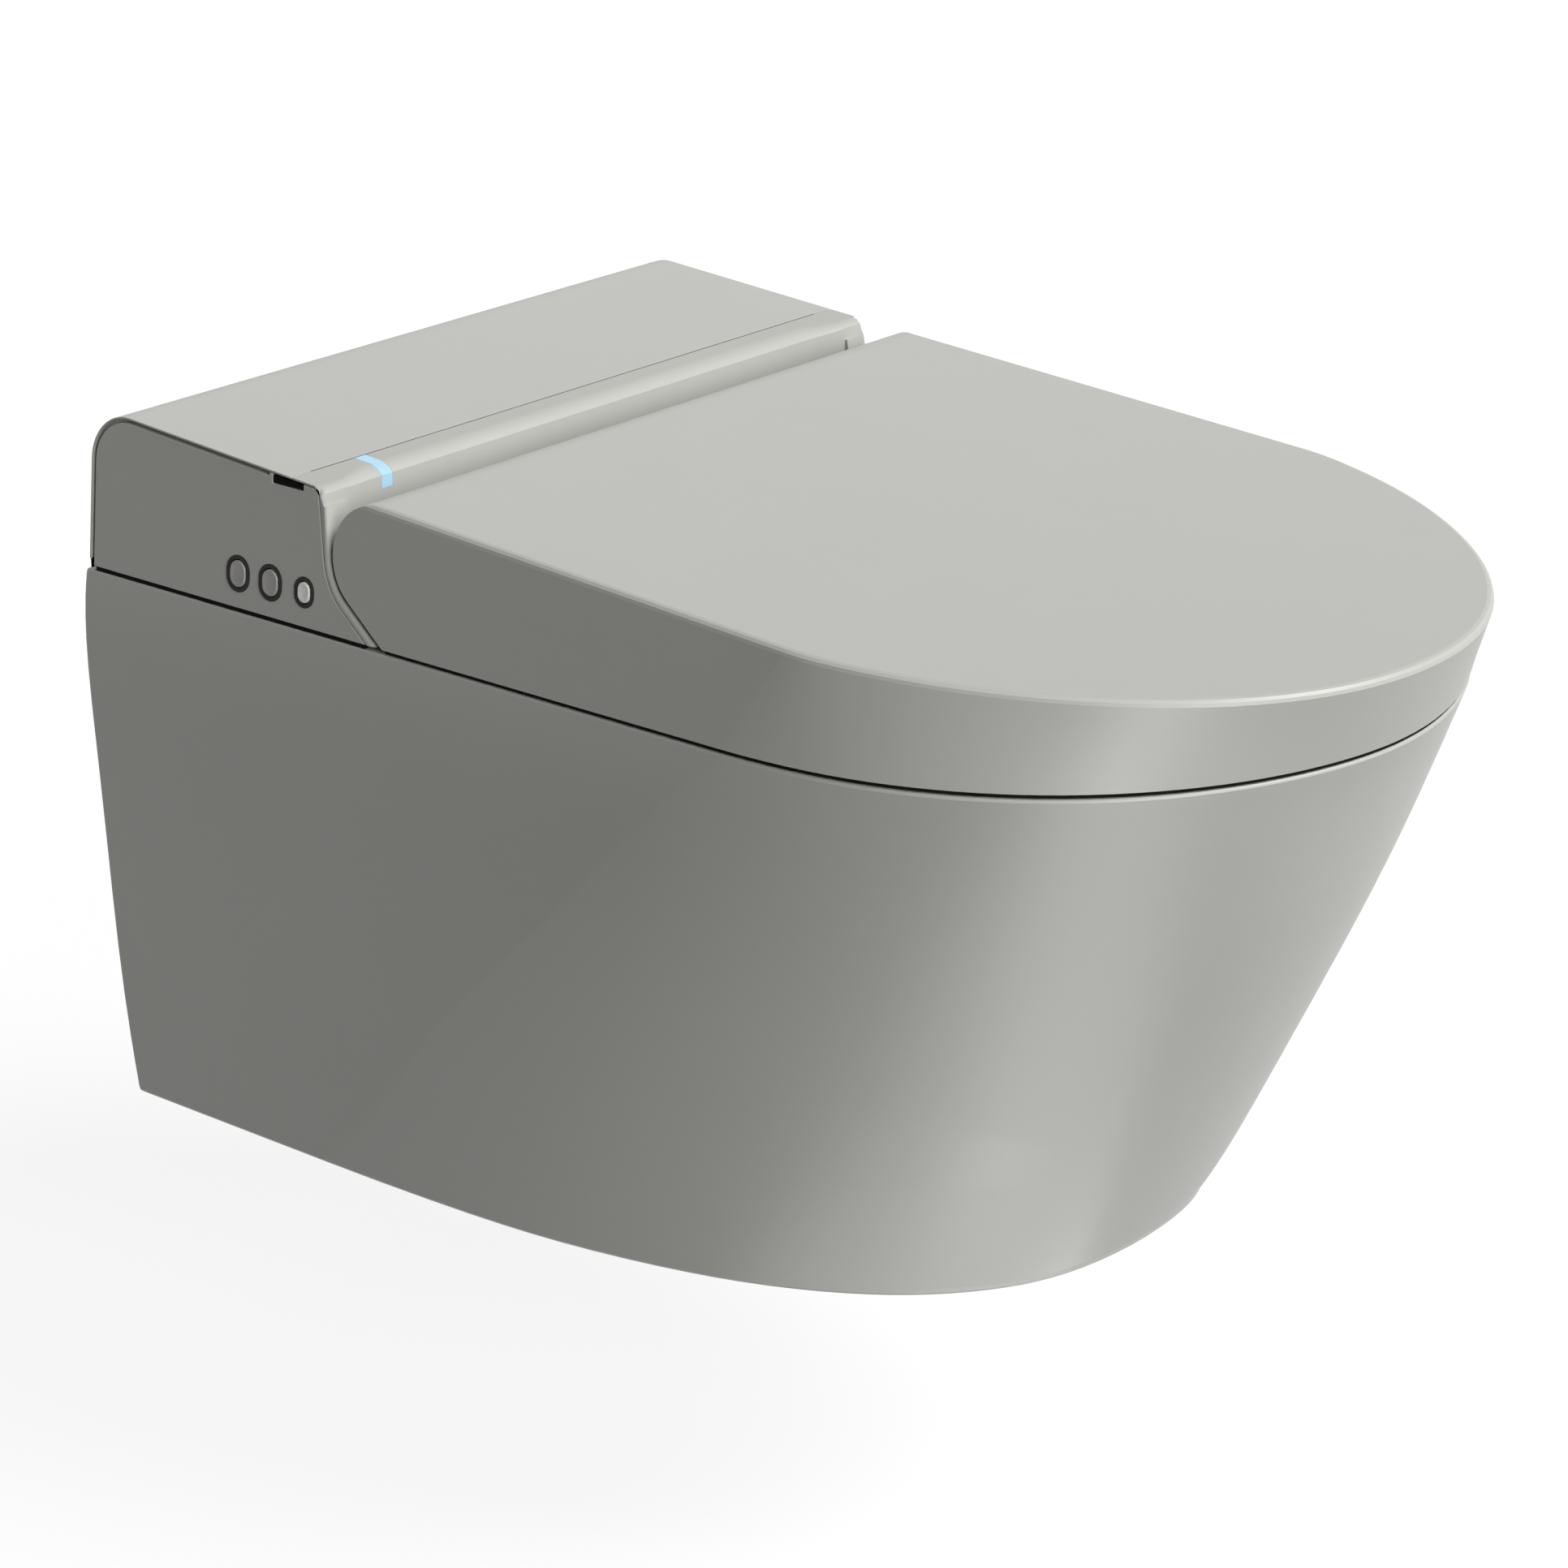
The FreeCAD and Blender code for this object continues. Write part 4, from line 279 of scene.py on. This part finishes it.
noiseSetup = {  # noise reads between these two values, and detail is how many finer layers it has
    "low": 0.3,
    "high": 0.7,
    "patchDetail": 3,
    "handlingScale": 2.7,
    "handlingDetail": 4,
    "handlingRoughness": 0.62,
    "swellDetail": 1,
    "grainDetail": 2,
    "plainRoughness": 0.5,
}
usualGloss = 0.5


def addNoise(tree, place, scale, detail, roughness=noiseSetup["plainRoughness"]):
    noise = addNode(tree, "TexNoise", Scale=scale, Detail=detail, Roughness=roughness)
    tree.links.new(place.outputs[0], noise.inputs["Vector"])
    return noise.outputs[0]


def remap(tree, source, low, high):
    ramp = addNode(tree, "MapRange")
    ramp.inputs["From Min"].default_value = noiseSetup["low"]
    ramp.inputs["From Max"].default_value = noiseSetup["high"]
    ramp.inputs["To Min"].default_value = low
    ramp.inputs["To Max"].default_value = high
    tree.links.new(source, ramp.inputs["Value"])
    return ramp.outputs[0]


def addBump(tree, height, distance):
    bump = addNode(tree, "Bump", Distance=distance)
    tree.links.new(height, bump.inputs["Height"])
    return bump


def makeFinish(name, look):
    material = bpy.data.materials.new(name)
    material.use_nodes = True
    tree = material.node_tree
    tree.nodes.clear()
    out = addNode(tree, "OutputMaterial")
    shader = addNode(tree, "BsdfPrincipled")
    coordinates = addNode(tree, "TexCoord")
    place = addNode(tree, "Mapping", Scale=look.get("brush", (1, 1, 1)))
    tree.links.new(coordinates.outputs["Object"], place.inputs["Vector"])

    patches = addNoise(tree, place, look["patch"], noiseSetup["patchDetail"])
    tint = addNode(tree, "Mix")
    tint.data_type = "RGBA"
    drift = look["drift"]
    tint.inputs[6].default_value = (*[c * (1 - drift) for c in look["colour"]], 1)
    tint.inputs[7].default_value = (*[c * (1 + drift) for c in look["colour"]], 1)
    tree.links.new(remap(tree, patches, 0, 1), tint.inputs[0])
    tree.links.new(tint.outputs[2], shader.inputs["Base Color"])

    handling = addNoise(tree, place, look["patch"] * noiseSetup["handlingScale"],
                        noiseSetup["handlingDetail"], noiseSetup["handlingRoughness"])
    tree.links.new(remap(tree, handling, *look["rough"]), shader.inputs["Roughness"])

    swell = addNoise(tree, place, look["wave"], noiseSetup["swellDetail"])
    grain = addNoise(tree, place, look["grain"], noiseSetup["grainDetail"])
    slow = addBump(tree, swell, look["swell"])
    fine = addBump(tree, grain, look["depth"])
    tree.links.new(slow.outputs[0], fine.inputs["Normal"])
    tree.links.new(fine.outputs[0], shader.inputs["Normal"])

    shader.inputs["Metallic"].default_value = look.get("metal", 0)
    shader.inputs["Specular IOR Level"].default_value = look.get("gloss", usualGloss)
    if "glow" in look:
        shader.inputs["Emission Color"].default_value = (*look["glow"], 1)
        shader.inputs["Emission Strength"].default_value = look["glowLevel"]
    tree.links.new(shader.outputs[0], out.inputs["Surface"])
    return material


materials = {name: makeFinish(name, look) for name, look in finishes.items()}
slotOf = {row["node"]: row["material_slot"] for row in frame["record"]["subparts"]}
for node, slot in slotOf.items():
    nodes[node].data.materials.clear()
    nodes[node].data.materials.append(materials[slot])
print("stage: finishes on", len(slotOf), "nodes")

meshSetup = {  # metres and degrees
    "merge": 0.00002,
    "copyMerge": 0.000002,
    "smoothUpTo": 34,
    "circleSteps": 64,
    "roundSteps": 4,
}


def newShape(name, shape, slot, body, standsFor=()):
    bmesh.ops.remove_doubles(shape, verts=shape.verts, dist=meshSetup["merge"])
    mesh = bpy.data.meshes.new(name)
    shape.to_mesh(mesh)
    shape.free()
    mesh.shade_smooth()
    mesh.set_sharp_from_angle(angle=math.radians(meshSetup["smoothUpTo"]))
    mesh.materials.append(materials[slot])
    piece = bpy.data.objects.new(name, mesh)
    bpy.context.scene.collection.objects.link(piece)
    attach(piece, body)
    if standsFor:
        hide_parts(*standsFor)
    evenly = piece.modifiers.new("evenly", "WEIGHTED_NORMAL")  # keeps wide faces flat beside soft edges
    evenly.keep_sharp = True


def copyOf(node):
    shape = bmesh.new()
    shape.from_mesh(nodes[node].data)
    bmesh.ops.remove_doubles(shape, verts=shape.verts, dist=meshSetup["copyMerge"])
    return shape


def dissolveFlat(shape, degrees):
    bmesh.ops.dissolve_limit(shape, angle_limit=math.radians(degrees), verts=shape.verts,
                             edges=shape.edges)


sideKeys = {  # the three keys on the user's right, places on the cap's leaning face
    "fromWall": (0.0987, 0.1190, 0.1401),
    "height": 0.0929,
    "foot": (0.1908, 0.0772),
    "lean": 0.0905,
    "ringRadius": (0.0072, 0.0072, 0.0060),
    "stretch": (0.0013, 0.0013, 0.0011),
    "ringWidth": 0.0021,
    "gap": 0.0003,
    "ringStand": 0.0005,
    "ringDepth": 0.0030,
    "ringSoft": 0.0003,
    "ringDip": 0.4,
    "keyStand": 0.0009,
    "keyDepth": 0.0046,
    "keySoft": 0.0006,
    "dish": ((0.0006, 0.00010), (0.0009, 0.00012), (0.0011, 0.00008)),
    "names": ("wash", "dry", "power"),
    "slots": ("button_plastic", "button_plastic", "button_pale"),
}


def keyFrame(number):
    # local x runs to the front, y up the face and z straight out of it
    angle = math.atan(sideKeys["lean"])
    out = Vector((-math.cos(angle), 0, math.sin(angle)))
    up = Vector((math.sin(angle), 0, math.cos(angle)))
    half, low = sideKeys["foot"]
    side = -half + sideKeys["lean"] * (sideKeys["height"] - low)
    place = Vector((side, -sideKeys["fromWall"][number], sideKeys["height"]))
    turn = Matrix((Vector((0, -1, 0)), up, out)).transposed().to_4x4()
    return Matrix.Translation(place) @ turn


def ovalFace(shape, radius, stretch, height):
    steps = meshSetup["circleSteps"]
    made = bmesh.ops.create_circle(shape, cap_ends=True, radius=radius, segments=steps)
    verts = made["verts"]
    bmesh.ops.rotate(shape, verts=verts, cent=(0, 0, 0), matrix=Matrix.Rotation(math.pi / steps, 3, "Z"))
    bmesh.ops.translate(shape, verts=[v for v in verts if v.co.y > 0], vec=(0, stretch, 0))
    bmesh.ops.translate(shape, verts=[v for v in verts if v.co.y < 0], vec=(0, -stretch, 0))
    bmesh.ops.translate(shape, verts=verts, vec=(0, 0, height))
    return verts[0].link_faces[0]


def raiseFace(shape, face, rise):
    made = bmesh.ops.extrude_face_region(shape, geom=[face])
    verts = [g for g in made["geom"] if isinstance(g, bmesh.types.BMVert)]
    bmesh.ops.translate(shape, verts=verts, vec=(0, 0, rise))
    return [g for g in made["geom"] if isinstance(g, bmesh.types.BMFace)][0]


def stepIn(shape, face, inset, rise):
    bmesh.ops.inset_region(shape, faces=[face], thickness=inset, depth=0, use_even_offset=True)
    bmesh.ops.translate(shape, verts=list(face.verts), vec=(0, 0, rise))


def softTop(shape, face, radius):
    # a quarter round, from the upright side into the top
    steps = meshSetup["roundSteps"]
    for i in range(steps):
        a, b = math.pi / 2 * i / steps, math.pi / 2 * (i + 1) / steps
        stepIn(shape, face, radius * (math.cos(a) - math.cos(b)), radius * (math.sin(b) - math.sin(a)))


def makeKey(number):
    shape = bmesh.new()
    radius = sideKeys["ringRadius"][number] - sideKeys["ringWidth"] - sideKeys["gap"]
    foot = sideKeys["keyStand"] - sideKeys["keyDepth"]
    base = ovalFace(shape, radius, sideKeys["stretch"][number], foot)
    top = raiseFace(shape, base, sideKeys["keyDepth"] - sideKeys["keySoft"])
    softTop(shape, top, sideKeys["keySoft"])
    for inset, sink in sideKeys["dish"]:
        stepIn(shape, top, inset, -sink)
    bmesh.ops.recalc_face_normals(shape, faces=shape.faces)
    bmesh.ops.transform(shape, matrix=keyFrame(number), verts=shape.verts)
    name = sideKeys["names"][number]
    newShape(name + "Key", shape, sideKeys["slots"][number], name + "_key", [name + "_button"])


def makeRing(number):
    shape = bmesh.new()
    soft, dip = sideKeys["ringSoft"], sideKeys["ringDip"]
    depth, stand = sideKeys["ringDepth"], sideKeys["ringStand"]
    base = ovalFace(shape, sideKeys["ringRadius"][number], sideKeys["stretch"][number], -depth)
    top = raiseFace(shape, base, depth + stand - soft)
    softTop(shape, top, soft)
    stepIn(shape, top, sideKeys["ringWidth"] - 2 * soft, -soft * dip)
    stepIn(shape, top, soft, -soft)
    well = raiseFace(shape, top, -depth - stand + soft * (1 + dip))
    bmesh.ops.delete(shape, geom=[well], context="FACES_ONLY")
    under = [f for f in shape.faces if len(f.verts) > 4]
    bmesh.ops.delete(shape, geom=under, context="FACES_ONLY")
    bmesh.ops.bridge_loops(shape, edges=[e for e in shape.edges if e.is_boundary])
    bmesh.ops.recalc_face_normals(shape, faces=shape.faces)
    bmesh.ops.transform(shape, matrix=keyFrame(number), verts=shape.verts)
    part = bpy.data.meshes.new("ring")
    shape.to_mesh(part)
    shape.free()
    return part


def makeRings():
    rings = bmesh.new()
    for number in range(len(sideKeys["names"])):
        rings.from_mesh(makeRing(number))
    newShape("keyRings", rings, "ring_plastic", "toilet", ["button_bezels"])


for keyNumber in range(len(sideKeys["names"])):
    makeKey(keyNumber)
makeRings()
print("stage: keys and rings")

softEdges = {  # CAD shells drawn again with softened edges, widths in metres
    "side_cap_right": {"width": 0.0005, "segments": 2},
    "side_cap_left": {"width": 0.0005, "segments": 2},
    "top_cover": {"width": 0.0003, "segments": 2},
    "front_nose": {"width": 0.0003, "segments": 2, "cheek": 0.0026},
    "sensor_window": {"width": 0.0008, "segments": 3},
    "damper_hoods": {"width": 0.0008, "segments": 3},
}
softSetup = {  # angles in degrees
    "body": "toilet",
    "flatUpTo": 0.6,
    "sharpFrom": 50,
    "cheekSegments": 6,
    "onSide": 0.0002,
}
cheekFaces = {  # how far the two faces' normals turn at a cheek edge
    "side": 0.9,
    "front": 0.5,
    "forward": -0.2,
}


def onCheek(edge):
    # the outer front edge of the unit's end, where a side face meets a face that looks forward
    if len(edge.link_faces) != 2:
        return False
    half, low = sideKeys["foot"]
    for vert in edge.verts:
        away = abs(vert.co.x) - half + sideKeys["lean"] * (vert.co.z - low)
        if abs(away) > softSetup["onSide"]:
            return False
    one, other = (f.normal for f in edge.link_faces)
    if abs(one.x) < abs(other.x):
        one, other = other, one
    turned = abs(one.x) > cheekFaces["side"] and abs(other.x) < cheekFaces["front"]
    return turned and other.y < cheekFaces["forward"]


def soften(shape, edges, width, segments, clamp):
    bmesh.ops.bevel(shape, geom=edges, offset=width, offset_type="OFFSET", segments=segments,
                    profile=0.5, affect="EDGES", clamp_overlap=clamp, material=-1)


def softCopy(node, how):
    shape = copyOf(node)
    dissolveFlat(shape, softSetup["flatUpTo"])
    if "cheek" in how:
        cheek = [e for e in shape.edges if onCheek(e)]
        soften(shape, cheek, how["cheek"], softSetup["cheekSegments"], False)
    limit = math.radians(softSetup["sharpFrom"])
    sharp = [e for e in shape.edges if len(e.link_faces) == 2 and e.calc_face_angle(0) > limit]
    soften(shape, sharp, how["width"], how["segments"], True)
    newShape(node + "Soft", shape, slotOf[node], softSetup["body"], [node])


for softNode, softHow in softEdges.items():
    softCopy(softNode, softHow)
print("stage: softened shells")

shadeStrips = {  # painted shade: dark strips in the soft rubber finish, set in under the edges they hang from so the shadow gaps read black
    "lid_shell": {
        "name": "lidShadeStrip", "body": "lid", "level": 0.0772, "setIn": 0.0010, "drop": 0.0017},
    "side_cap_right": {
        "name": "rightShadeStrip", "body": "toilet", "level": 0.0772, "setIn": 0.0008, "drop": 0.0021},
    "side_cap_left": {
        "name": "leftShadeStrip", "body": "toilet", "level": 0.0772, "setIn": 0.0008, "drop": 0.0021},
    "top_cover": {
        "name": "rearShadeStrip", "body": "toilet", "level": 0.0804, "setIn": 0.0003, "drop": 0.0046,
        "behind": -0.0047},
}
shadeStripSetup = {  # which faces of the shell above count as its foot
    "downward": -0.98,
    "near": 0.0006,
    "flatUpTo": 1,
}


# copies the foot of a shell into a dark sheet of painted shade that hangs in the gap below it
def makeShadeStrip(node, how):
    shape = copyOf(node)
    away = [f for f in shape.faces if f.normal.z > shadeStripSetup["downward"]
            or abs(f.calc_center_median().z - how["level"]) > shadeStripSetup["near"]]
    bmesh.ops.delete(shape, geom=away, context="FACES")
    if "behind" in how:
        bmesh.ops.bisect_plane(shape, geom=shape.verts[:] + shape.edges[:] + shape.faces[:],
                               plane_co=(0, how["behind"], 0), plane_no=(0, -1, 0), clear_outer=True)
    dissolveFlat(shape, shadeStripSetup["flatUpTo"])
    bmesh.ops.inset_region(shape, faces=shape.faces, thickness=how["setIn"], depth=0,
                           use_even_offset=True, use_boundary=True)
    rim = [f for f in shape.faces if any(e.is_boundary for e in f.edges)]
    bmesh.ops.delete(shape, geom=rim, context="FACES")
    made = bmesh.ops.extrude_face_region(shape, geom=shape.faces[:])
    verts = [g for g in made["geom"] if isinstance(g, bmesh.types.BMVert)]
    bmesh.ops.translate(shape, verts=verts, vec=(0, 0, -how["drop"]))
    bmesh.ops.recalc_face_normals(shape, faces=shape.faces)
    newShape(how["name"], shape, "soft_rubber", how["body"])


for shadeNode, shadeHow in shadeStrips.items():
    makeShadeStrip(shadeNode, shadeHow)

seamShadeBead = {  # thin dark bead in the seam between the cover and the nose, painted shade that draws the seam as a dark line
    "place": (-0.1300, 0.14219),
    "reach": 0.1725,
    "radius": 0.0004,
    "steps": 12,
}


# the bead is painted shade, a dark line laid into the seam
def makeSeamShade():
    shape = bmesh.new()
    made = bmesh.ops.create_circle(shape, cap_ends=True, radius=seamShadeBead["radius"],
                                   segments=seamShadeBead["steps"])
    face = made["verts"][0].link_faces[0]
    raiseFace(shape, face, 2 * seamShadeBead["reach"])
    start = Matrix.Translation((-seamShadeBead["reach"], *seamShadeBead["place"]))
    sideways = Matrix.Rotation(math.pi / 2, 4, "Y")
    bmesh.ops.transform(shape, matrix=start @ sideways, verts=shape.verts)
    bmesh.ops.recalc_face_normals(shape, faces=shape.faces)
    newShape("seamShadeBead", shape, "soft_rubber", "toilet")


makeSeamShade()
print("stage: seals and seam")
